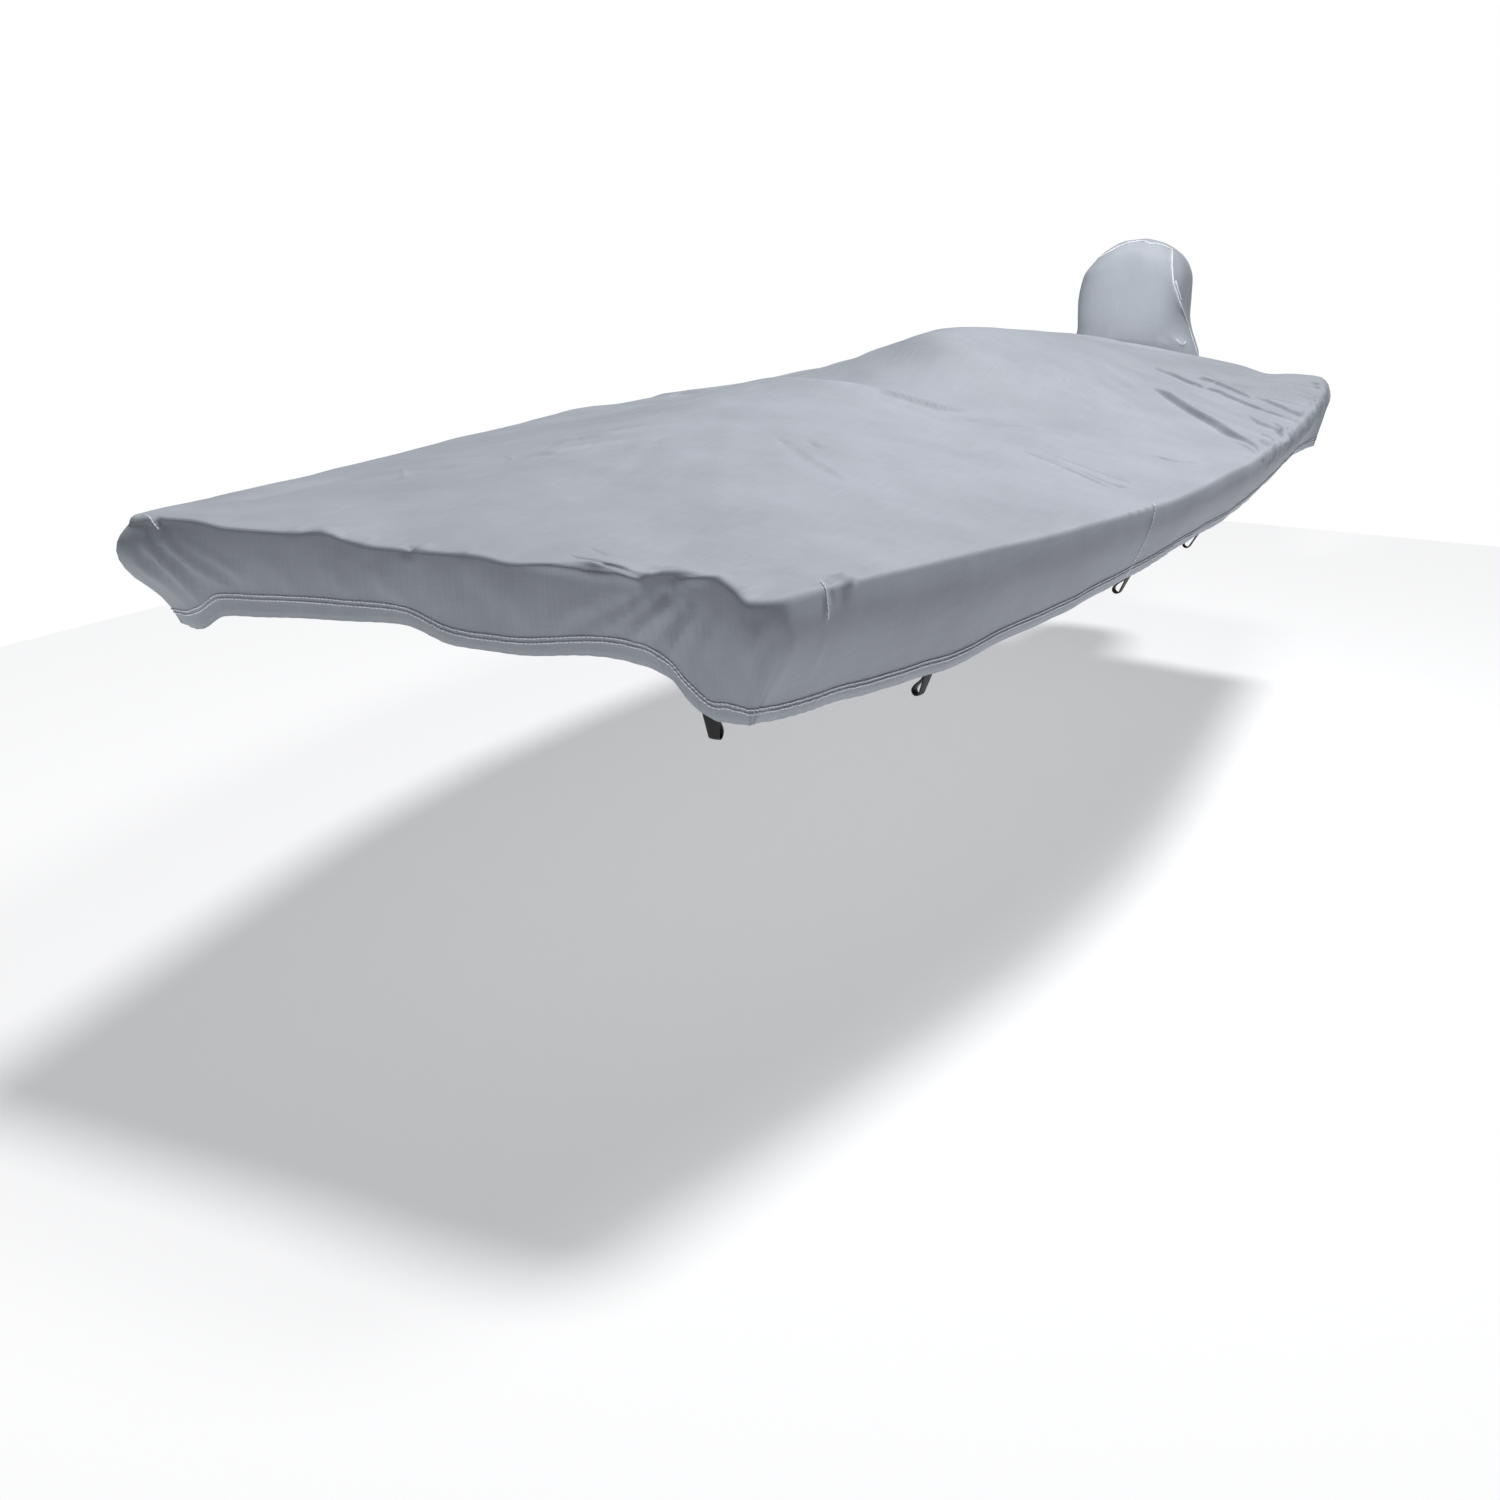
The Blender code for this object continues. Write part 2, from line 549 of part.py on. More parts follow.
def make_loop(name, band, body_tree, x, y, collection, finish):
    """Webbing loop: an outline with a hole, extruded to its width, then narrowed to its foot."""
    outline = bpy.data.curves.new(name, "CURVE")
    outline.dimensions = "2D"
    outline.fill_mode = "BOTH"
    outline.extrude = 0.5
    for points in loop_outlines():
        spline = outline.splines.new("POLY")
        spline.points.add(len(points) - 1)
        for point, (across, height) in zip(spline.points, points):
            point.co = (across, height, 0.0, 1.0)
        spline.use_cyclic_u = True
    guide = bpy.data.objects.new(name + "_outline", outline)
    collection.objects.link(guide)
    view = bpy.context.evaluated_depsgraph_get()
    mesh = bpy.data.meshes.new_from_object(guide.evaluated_get(view))
    bpy.data.objects.remove(guide, do_unlink=True)
    work = bmesh.new()
    work.from_mesh(mesh)
    bmesh.ops.remove_doubles(work, verts=work.verts, dist=MERGE)
    for vertex in work.verts:
        share = (LOOP_TAB - vertex.co.y) / (LOOP_TAB + LOOP_DROP)
        vertex.co.z *= LOOP_WIDTH + (LOOP_FOOT_WIDTH - LOOP_WIDTH) * share
    bmesh.ops.recalc_face_normals(work, faces=work.faces)
    work.to_mesh(mesh)
    work.free()
    mesh.name = name
    loop = add_object(name, mesh, collection, finish)
    low_edge, up, inward = hem_cell(band, x, y)
    along = inward.cross(up)
    seat = seat_on_hem(low_edge, along, up, inward, body_tree)
    loop.matrix_world = Matrix.Translation(seat) @ Matrix((inward, up, along)).transposed().to_4x4()
    return loop


def main():
    for old in list(bpy.data.objects):
        bpy.data.objects.remove(old, do_unlink=True)
    collection = bpy.data.collections.new("boat_cover")
    bpy.context.scene.collection.children.link(collection)
    cloth = material("coated polyester", (0.45, 0.47, 0.52), 0.75)
    hood_cloth = material("coated polyester hood", (0.43, 0.45, 0.49), 0.75)
    webbing = material("black polypropylene webbing", (0.012, 0.012, 0.013), 0.70)

    origin = bpy.data.objects.new("support_point", None)
    collection.objects.link(origin)
    pieces = []
    body, band = make_body(collection, cloth)
    pieces.append(body)
    pieces.append(make_hood(collection, hood_cloth))
    body_tree = BVHTree.FromObject(body, bpy.context.evaluated_depsgraph_get())
    for side, sign, places in (("port", 1, (BOW_LOOP, *LOOPS)), ("starboard", -1, LOOPS)):
        for name, x, y in places:
            pieces.append(make_loop(f"loop_{side}_{name}", band, body_tree, sign * x, y,
                                    collection, webbing))
    for piece in pieces:
        piece.parent = origin
    under_cloth = float(deck_height(np.array(0.0), np.array(SUPPORT_Y))) - SHEET
    origin.location = (0.0, -SUPPORT_Y, -under_cloth)


main()
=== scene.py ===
# %% [markdown]
# # A fitted cloth cover for a small boat
#
# The real thing is one big piece of light grey coated polyester, cut and sewn so that it drops over
# a small flat-bowed boat, with a bag for the outboard motor sewn on behind and loops of black
# webbing inside the hem. The boat is not part of the object: the cloth is shown in the shape that
# the boat gives it.
#
# This notebook builds the cloth from the same few tables as the solid model, only much finer, and then
# presses every crease into it. The lessons are: a cloth surface from stations, an adaptive mesh, creases
# as distances to curves, stitches with Geometry Nodes, and woven materials.

# %% Load the frame that everything has to fit
import math
import random

import bmesh
import bpy
import numpy as np
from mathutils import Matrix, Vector
from mathutils.geometry import delaunay_2d_cdt
from mathutils.kdtree import KDTree


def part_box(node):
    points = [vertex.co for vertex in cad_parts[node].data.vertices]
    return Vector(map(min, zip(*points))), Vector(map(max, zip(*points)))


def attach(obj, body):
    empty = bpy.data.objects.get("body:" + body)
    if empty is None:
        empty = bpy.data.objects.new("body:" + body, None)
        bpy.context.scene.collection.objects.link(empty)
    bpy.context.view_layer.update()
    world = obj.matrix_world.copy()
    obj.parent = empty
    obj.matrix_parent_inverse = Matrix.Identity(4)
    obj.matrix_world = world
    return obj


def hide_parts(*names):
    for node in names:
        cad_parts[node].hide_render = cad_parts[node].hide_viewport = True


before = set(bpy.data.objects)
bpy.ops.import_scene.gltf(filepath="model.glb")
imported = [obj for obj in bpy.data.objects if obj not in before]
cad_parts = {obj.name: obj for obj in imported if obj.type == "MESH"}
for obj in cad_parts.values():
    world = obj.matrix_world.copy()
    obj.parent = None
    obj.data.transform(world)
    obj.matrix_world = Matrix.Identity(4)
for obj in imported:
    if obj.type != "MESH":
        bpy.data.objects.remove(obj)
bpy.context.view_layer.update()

# %% [markdown]
# ## Helpers that the whole notebook uses
#
# Colours are written as the hex codes a painter would pick, which are sRGB. The renderer works in
# linear light, so one function converts them. The others add a material, an object, and a shader
# or geometry node that gets its links in the same line, which keeps a long node tree readable.

# %% Colour and node helpers
def colour(code):
    """An sRGB hex colour as linear red, green, blue and alpha."""
    channels = [int(code[k:k + 2], 16) / 255 for k in (0, 2, 4)]
    linear = [c / 12.92 if c <= 0.04045 else ((c + 0.055) / 1.055) ** 2.4 for c in channels]
    return (*linear, 1.0)


def plug(node, **links):
    """Gives a node's inputs values or sockets; _2 is input number 2, and _ in a name is a space."""
    for name, value in links.items():
        socket = node.inputs[int(name[1:]) if name[1:].isdigit() else name.replace("_", " ")]
        if isinstance(value, bpy.types.NodeSocket):
            node.id_data.links.new(value, socket)
        else:
            socket.default_value = value


def add_node(tree, kind, settings=None, **links):
    """A new node; settings are its properties, and links are values or sockets for its inputs."""
    node = tree.nodes.new(kind)
    for name, value in (settings or {}).items():
        setattr(node, name, value)
    plug(node, **links)
    return node


def new_finish(name):
    """A new material, its node tree and its shader."""
    finish = bpy.data.materials.new(name)
    finish.use_nodes = True
    return finish, finish.node_tree, finish.node_tree.nodes["Principled BSDF"]


def add_piece(name, data):
    piece = bpy.data.objects.new(name, data)
    bpy.context.scene.collection.objects.link(piece)
    return piece


print("white is", colour("FFFFFF"))

# %% [markdown]
# ## Camera
#
# The camera comes first, so that each later step can be judged from the same place: a little above
# the rim, off the port bow. Its place and turn are given in the boat's own frame, which starts at
# the middle of the bow edge. The solid model starts just under the cloth where the aft support
# holds it up, so one shift takes boat places to model places.

# %% Place the camera
SUPPORT_Y = 2.700        # the model's origin, aft of the bow edge
SUPPORT_Z = 0.2351       # and above the boat's rim
SHIFT = np.array([0.0, -SUPPORT_Y, -SUPPORT_Z])

CAMERA_PLACE = (1.776, -2.520, 0.577)
CAMERA_YAW = 0.429       # radians to port of straight aft
CAMERA_PITCH = 0.290     # radians below level
CAMERA_ROLL = 0.029
CAMERA_LENS, CAMERA_SENSOR = 44.05, 36.0     # mm


def camera_axes():
    """Right, up and backward directions of the camera."""
    cos_yaw, sin_yaw = math.cos(CAMERA_YAW), math.sin(CAMERA_YAW)
    cos_pitch, sin_pitch = math.cos(CAMERA_PITCH), math.sin(CAMERA_PITCH)
    forward = Vector((-sin_yaw * cos_pitch, cos_yaw * cos_pitch, -sin_pitch))
    level = Vector((cos_yaw, sin_yaw, 0.0))
    upright = level.cross(forward)
    right = level * math.cos(CAMERA_ROLL) + upright * math.sin(CAMERA_ROLL)
    up = upright * math.cos(CAMERA_ROLL) - level * math.sin(CAMERA_ROLL)
    return right, up, -forward


camera_data = bpy.data.cameras.new("camera")
camera_data.lens = CAMERA_LENS
camera_data.sensor_width = CAMERA_SENSOR
camera = add_piece("camera", camera_data)
right, up, back = camera_axes()
for row in range(3):
    camera.matrix_world[row][0:4] = (right[row], up[row], back[row], CAMERA_PLACE[row] + SHIFT[row])
bpy.context.scene.camera = camera
print("camera at", [round(v, 3) for v in camera.matrix_world.translation])

# %% [markdown]
# ## Light and floor
#
# A boat cover is seen outdoors, under a high bright sky that leaves its upright sides in open
# shade. One very soft sun a little behind the boat does that, and a weak sky fills the shade. The
# background is seen as white by the camera but shines only weakly, or the sides would lose their
# shape. The floor is a plain pale plane far enough below for the boat that is left out.

# %% Sun, sky and floor
SUN_ELEVATION = 67.0     # degrees above the horizon
SUN_AZIMUTH = 14.0       # degrees from straight aft towards port
SUN_STRENGTH = 2.50
SUN_SIZE = 12.0          # degrees across: larger is softer
SKY_SHINE = 0.10
FLOOR_Z = -1.25
FLOOR_REACH = (3.3, 4.9)         # half its width and length
FLOOR_GLOW = 0.42                # keeps the shadow on it pale
# A soft box over the port rim, whose light falls off towards the starboard bow.
BOX_PLACE, BOX_AIM = Vector((1.45, -0.4, 2.9)), Vector((0.3, -0.8, 0.0))
BOX_POWER, BOX_SIZE = 47.0, 0.9
# The hood's front turns away from the sun, so a small spot from above the bow lights it.
HOOD_LIGHT_PLACE, HOOD_LIGHT_AIM = Vector((0.1, -1.6, 1.5)), Vector((0.07, 1.90, 0.10))
HOOD_LIGHT_POWER, HOOD_LIGHT_CONE = 410.0, 13.0
HOOD_LIGHT_BLEND, HOOD_LIGHT_SIZE = 0.6, 0.25
# A weak fill from low ahead of the bow keeps the front skirt from going black.
FILL_PLACE, FILL_AIM = Vector((-1.5, -6.0, 0.1)), Vector((-0.1, -2.7, -0.35))
FILL_POWER, FILL_SIZE = 11.0, 1.2


def add_light(name, kind, place, aim, power, **settings):
    """A light at a place, turned towards another place."""
    data = bpy.data.lights.new(name, kind)
    data.energy = power
    for setting, value in settings.items():
        setattr(data, setting, value)
    light = add_piece(name, data)
    light.location = place
    light.rotation_euler = (place - aim).to_track_quat("Z", "Y").to_euler()


elevation, azimuth = math.radians(SUN_ELEVATION), math.radians(SUN_AZIMUTH)
toward_sun = Vector((math.sin(azimuth) * math.cos(elevation),
                     math.cos(azimuth) * math.cos(elevation), math.sin(elevation)))
add_light("sun", "SUN", toward_sun, Vector(), SUN_STRENGTH, angle=math.radians(SUN_SIZE))
add_light("soft box", "AREA", BOX_PLACE, BOX_AIM, BOX_POWER, size=BOX_SIZE)
add_light("hood light", "SPOT", HOOD_LIGHT_PLACE, HOOD_LIGHT_AIM, HOOD_LIGHT_POWER,
          spot_size=math.radians(HOOD_LIGHT_CONE), spot_blend=HOOD_LIGHT_BLEND,
          shadow_soft_size=HOOD_LIGHT_SIZE)
add_light("fill", "AREA", FILL_PLACE, FILL_AIM, FILL_POWER, size=FILL_SIZE)

world = bpy.data.worlds.new("white background")
world.use_nodes = True
sky = world.node_tree
sky.nodes.clear()
seen = add_node(sky, "ShaderNodeBackground", Color=colour("FFFFFF"), Strength=1.0)
shining = add_node(sky, "ShaderNodeBackground", Color=colour("E6EEFF"), Strength=SKY_SHINE)
ray = add_node(sky, "ShaderNodeLightPath")
mixed = add_node(sky, "ShaderNodeMixShader", _0=ray.outputs["Is Camera Ray"],
                 _1=shining.outputs[0], _2=seen.outputs[0])
add_node(sky, "ShaderNodeOutputWorld", Surface=mixed.outputs[0])
bpy.context.scene.world = world

floor_mesh = bpy.data.meshes.new("floor")
wide, long = FLOOR_REACH
floor_mesh.from_pydata([(-wide, -long, FLOOR_Z), (wide, -long, FLOOR_Z), (wide, long, FLOOR_Z),
                        (-wide, long, FLOOR_Z)], [], [(0, 1, 2, 3)])
floor = add_piece("floor", floor_mesh)
floor_paint, _, paint = new_finish("matt white floor paint")
plug(paint, Base_Color=colour("C6C6C6"), Roughness=0.9, Emission_Color=colour("FFFFFF"),
     Emission_Strength=FLOOR_GLOW)
floor_mesh.materials.append(floor_paint)
print("floor at z", FLOOR_Z, "and sun at", SUN_ELEVATION, "degrees")

# %% [markdown]
# ## The shape of the cloth, as tables
#
# A cover like this is patterned from stations: cross-sections along the boat, each with a half
# width, the height of the rim and the height of the crest. Two supports under the deck make the
# crest rise at 1.8 m and 2.7 m, with a valley between. A smooth curve through each column gives
# the values anywhere between two stations, without overshooting them.

# %% Stations of the boat
LENGTH = 4.41            # bow edge to the transom's corners
EDGE_ROLL = 0.009        # radius in which the cloth turns over the rim
# The corners are padded by their seams, so the cloth turns over them in a wider curve:
# x and y of each corner, the radius there, and how far along the rim that reaches.
CORNER_ROLLS = ((-0.640, 0.020, 0.014, 0.10), (0.655, 0.050, 0.016, 0.12),
                (0.850, 4.400, 0.048, 0.18), (-0.850, 4.400, 0.030, 0.22))
CORNER = 0.055           # plan radius of all four corners
STERN_BULGE = 0.05       # how far the motor pushes the middle of the transom edge aft
STERN_FLAT, STERN_EASE = 0.36, 0.74      # half width of that bulge, and where it has died out

STATION_COLUMNS = ("y", "half_width", "rim_z", "crest_z", "crest_x", "crest_half", "sag", "round_off")
STATIONS = (
    (0.000, 0.652, -0.004, 0.006, 0.00, 0.10, 1.05, 0.30),
    (0.551, 0.757, -0.016, 0.052, 0.00, 0.08, 1.10, 0.26),
    (1.103, 0.860, -0.026, 0.101, -0.02, 0.06, 1.20, 0.20),
    (1.500, 0.922, -0.027, 0.133, -0.05, 0.06, 1.30, 0.12),
    (1.790, 0.949, -0.023, 0.154, -0.07, 0.07, 1.40, 0.05),
    (1.880, 0.955, -0.021, 0.144, -0.06, 0.07, 1.40, 0.06),
    (2.050, 0.964, -0.017, 0.100, -0.02, 0.05, 1.25, 0.14),
    (2.205, 0.974, -0.015, 0.098, 0.00, 0.03, 1.25, 0.16),
    (2.420, 0.970, -0.017, 0.158, 0.00, 0.03, 1.45, 0.12),
    (2.600, 0.963, -0.018, 0.232, 0.00, 0.02, 1.75, 0.06),
    (2.756, 0.959, -0.019, 0.238, 0.00, 0.02, 1.60, 0.07),
    (3.308, 0.927, -0.021, 0.209, 0.00, 0.04, 1.30, 0.10),
    (3.859, 0.891, -0.008, 0.172, -0.02, 0.05, 1.25, 0.12),
    (4.200, 0.866, 0.014, 0.142, -0.03, 0.06, 1.50, 0.13),
    (4.355, 0.852, 0.040, 0.124, -0.04, 0.08, 1.90, 0.14),
    (4.470, 0.845, 0.040, 0.114, -0.04, 0.08, 1.90, 0.14),
)


class Stations:
    """A table whose columns are read at any place as smooth curves through its rows."""

    def __init__(self, columns, rows):
        self.values = {name: np.array([row[i] for row in rows]) for i, name in enumerate(columns)}
        self.place = self.values[columns[0]]

    def at(self, name, where):
        where = np.clip(np.asarray(where, dtype=float), self.place[0], self.place[-1])
        heights, widths = self.values[name], np.diff(self.place)
        slopes = np.diff(heights) / widths
        left, right = 2 * widths[1:] + widths[:-1], widths[1:] + 2 * widths[:-1]
        with np.errstate(divide="ignore", invalid="ignore"):
            middle = (left + right) / (left / slopes[:-1] + right / slopes[1:])
        ends = np.zeros(len(heights))
        ends[1:-1] = np.where(slopes[:-1] * slopes[1:] > 0, middle, 0.0)
        ends[0], ends[-1] = slopes[0], slopes[-1]
        cell = np.clip(np.searchsorted(self.place, where) - 1, 0, len(widths) - 1)
        t = (where - self.place[cell]) / widths[cell]
        rise = heights[cell] * (2 * t**3 - 3 * t**2 + 1) + heights[cell + 1] * (3 * t**2 - 2 * t**3)
        bend = ends[cell] * (t**3 - 2 * t**2 + t) + ends[cell + 1] * (t**3 - t**2)
        return rise + bend * widths[cell]


boat = Stations(STATION_COLUMNS, STATIONS)
print("half width at midships:", round(float(boat.at("half_width", LENGTH / 2)), 3), "m")

# %% Height of the deck, with its broad folds
# x_from, y_from, x_to, y_to, half_width, height: broad troughs and ridges where the tie-downs
# pull the cloth towards the stern corners.
FOLDS = (
    (0.36, 3.62, 0.90, 3.06, 0.055, -0.012),
    (0.44, 3.74, 0.93, 3.24, 0.050, 0.009),
    (0.42, 4.05, 0.90, 3.52, 0.050, -0.010),
    (0.48, 4.18, 0.88, 3.76, 0.045, 0.008),
    (-0.38, 3.66, -0.90, 3.14, 0.055, -0.010),
    (-0.46, 3.80, -0.92, 3.34, 0.050, 0.008),
    (-0.44, 4.10, -0.88, 3.62, 0.050, -0.008),
    (0.62, 4.00, 0.63, 4.60, 0.070, -0.016),
    (-0.62, 4.00, -0.63, 4.60, 0.070, -0.014),
)
FOLD_START, FOLD_END = (-0.15, 0.35), (1.15, 0.85)   # shares of a fold's run over which it rises
FOLD_EDGE = 0.06         # distance from the rim over which folds flatten

# Where slack cloth rides up above the bow edge, most of all beside the port corner's dart.
BOW_RISE = (
    (-0.652, 0.000), (-0.610, 0.002), (-0.550, 0.008), (-0.480, 0.009), (-0.400, 0.001),
    (-0.260, 0.003), (-0.200, 0.011), (-0.140, 0.002), (-0.100, -0.003), (0.000, 0.000),
    (0.120, 0.003), (0.175, -0.002), (0.230, 0.004), (0.290, 0.013), (0.350, 0.020),
    (0.385, 0.018), (0.415, 0.012), (0.440, 0.014), (0.470, 0.021), (0.555, 0.023),
    (0.585, 0.011), (0.610, -0.008), (0.652, -0.003),
)
BOW_RISE_REACH = 0.09    # distance aft over which that dies out
bow_rise = Stations(("x", "rise"), BOW_RISE)


def smoothstep(low, high, value):
    t = np.clip((np.asarray(value, dtype=float) - low) / (high - low), 0.0, 1.0)
    return t * t * (3 - 2 * t)


def fold_height(x, y):
    total = np.zeros(np.broadcast(x, y).shape)
    for x_from, y_from, x_to, y_to, half_width, height in FOLDS:
        run_x, run_y = x_to - x_from, y_to - y_from
        length = math.hypot(run_x, run_y)
        along = ((x - x_from) * run_x + (y - y_from) * run_y) / length**2
        across = ((x - x_from) * run_y - (y - y_from) * run_x) / length
        ends = smoothstep(*FOLD_START, along) * smoothstep(*FOLD_END, along)
        total = total + height * ends * np.exp(-((across / half_width) ** 2))
    return total


def deck_height(x, y):
    """Height of the stretched cloth over the place (x, y)."""
    half, rim = boat.at("half_width", y), boat.at("rim_z", y)
    crest, middle = boat.at("crest_z", y), boat.at("crest_x", y)
    flat, sag, soft = boat.at("crest_half", y), boat.at("sag", y), boat.at("round_off", y)
    off = x - middle
    reach = np.where(off > 0, half - middle, half + middle) - flat
    t = np.clip((np.abs(off) - flat) / reach, 0.0, 1.0)
    eased = (np.sqrt(t * t + soft * soft) - soft) / (np.sqrt(1 + soft * soft) - soft)
    height = rim + (crest - rim) * (1 - eased) ** sag
    bow_fade = np.exp(-((y / BOW_RISE_REACH) ** 2))
    return (height + fold_height(x, y) * smoothstep(0.0, FOLD_EDGE, half - np.abs(x))
            + bow_rise.at("rise", x) * bow_fade)


print("deck at the aft support:", round(float(deck_height(np.array(0.0), np.array(2.7))), 4), "m")

# %% [markdown]
# ## Skirts and hem
#
# The skirts hang from the boat's rim and end in a turned hem, which elastic tie-downs draw in
# below the rim. A cloth simulation could hang them. Rows of points that follow a table of heights
# and insets are used instead: they give the same shape on every run, and they leave an even band
# for the two rows of stitches.

# %% The hem
# Where the skirts end: height of the hem, how far it is drawn in under the rim by its elastic
# tie-downs, and how far the skirt bellies out between rim and hem.
HEM_COLUMNS = ("place", "hem_z", "inset", "belly")
SIDE_HEM = (
    (0.016, -0.226, 0.072, 0.014), (0.200, -0.232, 0.052, 0.012), (0.600, -0.238, 0.040, 0.010),
    (0.850, -0.224, 0.040, 0.008), (1.300, -0.196, 0.043, 0.006), (1.600, -0.178, 0.046, 0.006),
    (2.000, -0.166, 0.052, 0.006), (2.500, -0.164, 0.055, 0.006), (3.000, -0.162, 0.055, 0.006),
    (3.600, -0.168, 0.055, 0.008), (4.100, -0.190, 0.045, 0.008), (4.394, -0.208, 0.026, 0.006),
)
BOW_HEM = (
    (-0.636, -0.205, 0.095, 0.040), (-0.560, -0.210, 0.070, 0.028), (-0.507, -0.200, 0.048, 0.016),
    (-0.440, -0.166, 0.032, 0.008), (-0.360, -0.158, 0.026, 0.006), (-0.250, -0.147, 0.022, 0.004),
    (-0.050, -0.134, 0.020, 0.004), (0.060, -0.156, 0.020, 0.004), (0.160, -0.158, 0.022, 0.004),
    (0.350, -0.141, 0.026, 0.006), (0.425, -0.149, 0.030, 0.008), (0.465, -0.165, 0.034, 0.010),
    (0.502, -0.207, 0.042, 0.010), (0.546, -0.228, 0.050, 0.010), (0.636, -0.228, 0.060, 0.010),
)
STERN_HEM = (
    (-0.832, -0.208, 0.026, 0.006), (-0.500, -0.196, 0.012, 0.003), (-0.360, -0.190, 0.0, 0.0),
    (0.360, -0.190, 0.0, 0.0), (0.500, -0.196, 0.012, 0.003), (0.832, -0.208, 0.026, 0.006),
)
STARBOARD_TUCK, STARBOARD_LIFT = 0.045, 0.020    # the starboard bow corner is drawn in further
TUCK_FULL, TUCK_REACH = 0.05, 0.70               # where along the side that holds, and dies out
CORNER_BLEND = (0.35, 0.65)                      # share of a turn over which end and side blend
BELLY_HIGH, INSET_LOW = 0.65, 1.3                # fullest above the middle, drawn in near the hem
BELLY_SOFT = 1.8                                 # above 1 makes a belly start and end smoothly

side_hem, bow_hem, stern_hem = (Stations(HEM_COLUMNS, rows) for rows in (SIDE_HEM, BOW_HEM, STERN_HEM))


def hem_values(edge, outward):
    """Hem height, inset and belly for each place of the edge: end and side tables, blended."""
    x, y = edge.T
    share = smoothstep(*CORNER_BLEND, np.abs(outward[:, 1]))
    values = []
    for column in HEM_COLUMNS[1:]:
        end = np.where(y < LENGTH / 2, bow_hem.at(column, x), stern_hem.at(column, x))
        values.append(share * end + (1 - share) * side_hem.at(column, y))
    tuck = np.where(x < 0, (1 - share) * smoothstep(TUCK_REACH, TUCK_FULL, y), 0.0)
    return values[0] + STARBOARD_LIFT * tuck, values[1] + STARBOARD_TUCK * tuck, values[2]


print("deepest skirt:", min(row[1] for row in SIDE_HEM + BOW_HEM), "m")

# %% Plan outline of the rim
# (from, to, step) in metres: finer where the cloth is creased, gathered or sewn.
BOW_STEPS = ((-0.597, -0.380, 0.0065), (-0.380, 0.230, 0.0140), (0.230, 0.597, 0.0045))
PORT_STEPS = ((0.055, 0.125, 0.007), (0.125, 0.260, 0.0035), (0.260, 0.700, 0.016),
              (0.700, 1.280, 0.030), (1.280, 1.395, 0.005), (1.395, 1.440, 0.0022),
              (1.440, 1.700, 0.018), (1.700, 2.400, 0.026), (2.400, 4.355, 0.0078))
STARBOARD_STEPS = ((0.055, 0.600, 0.016), (0.600, 2.600, 0.045), (2.600, 4.355, 0.022))
STERN_STEPS = ((0.239, 0.797, 0.020), (-0.159, 0.239, 0.0199), (-0.797, -0.159, 0.020))
CORNER_STEPS = 16


def spaced(stretches):
    return np.concatenate([np.linspace(start, end, max(1, round((end - start) / step)), endpoint=False)
                           for start, end, step in stretches])


def stern_edge(x):
    return LENGTH + STERN_BULGE * smoothstep(STERN_EASE, STERN_FLAT, np.abs(x))


def corner_turn(at_stern):
    """Port corner of the outline, from the end's straight edge round to the side."""
    angle = np.linspace(0, math.pi / 2, CORNER_STEPS + 1)
    inward = CORNER * (1 - np.cos(angle))
    y = LENGTH - inward if at_stern else inward
    return np.stack([boat.at("half_width", y) - CORNER + CORNER * np.sin(angle), y], axis=1)


def side_line(stretches):
    y = spaced(stretches)[1:]
    return np.stack([boat.at("half_width", y), y], axis=1)


def rim_outline():
    """Once round the rim: bow edge to port, port side aft, transom, starboard side forward."""
    mirror = np.array([-1.0, 1.0])
    bow = np.stack([spaced(BOW_STEPS)[1:], 0 * spaced(BOW_STEPS)[1:]], axis=1)
    across = -spaced([(-b, -a, step) for a, b, step in STERN_STEPS])[1:]
    stern = np.stack([across, stern_edge(across)], axis=1)
    fore, aft = corner_turn(False), corner_turn(True)
    return np.concatenate([bow, fore, side_line(PORT_STEPS), aft[::-1], stern, aft * mirror,
                           side_line(STARBOARD_STEPS)[::-1] * mirror, fore[::-1] * mirror])


def length_along(points):
    """Length from the first point to each one, along a line or down every column of a grid."""
    steps = np.linalg.norm(np.diff(points, axis=0), axis=-1)
    return np.concatenate([np.zeros_like(steps[:1]), np.cumsum(steps, axis=0)])


edge = rim_outline()
tangent = np.roll(edge, -1, axis=0) - np.roll(edge, 1, axis=0)
tangent /= np.linalg.norm(tangent, axis=1)[:, None]
outward = np.stack([tangent[:, 1], -tangent[:, 0]], axis=1)
rim_place = length_along(edge)
roll = np.full(len(edge), EDGE_ROLL)
for corner_x, corner_y, radius, reach in CORNER_ROLLS:
    away = np.hypot(edge[:, 0] - corner_x, edge[:, 1] - corner_y)
    roll += (radius - EDGE_ROLL) * np.exp(-((away / reach) ** 2))
print("rim:", len(edge), "places over", round(float(rim_place[-1]), 2), "m")

# %% Rows of the skirt, from the deck over the rim to the hem
ROLL_ROWS = 4            # rows in the turn over the rim
SKIRT_ROWS = 11          # rows from the turn down to the hem's band
BAND_HEIGHTS = (0.0340, 0.0268, 0.0140, 0.0)     # rows of the hem's band, above its edge
ROW_CLOSING = 1.5        # above 1 sets the skirt's rows closer together near the rim


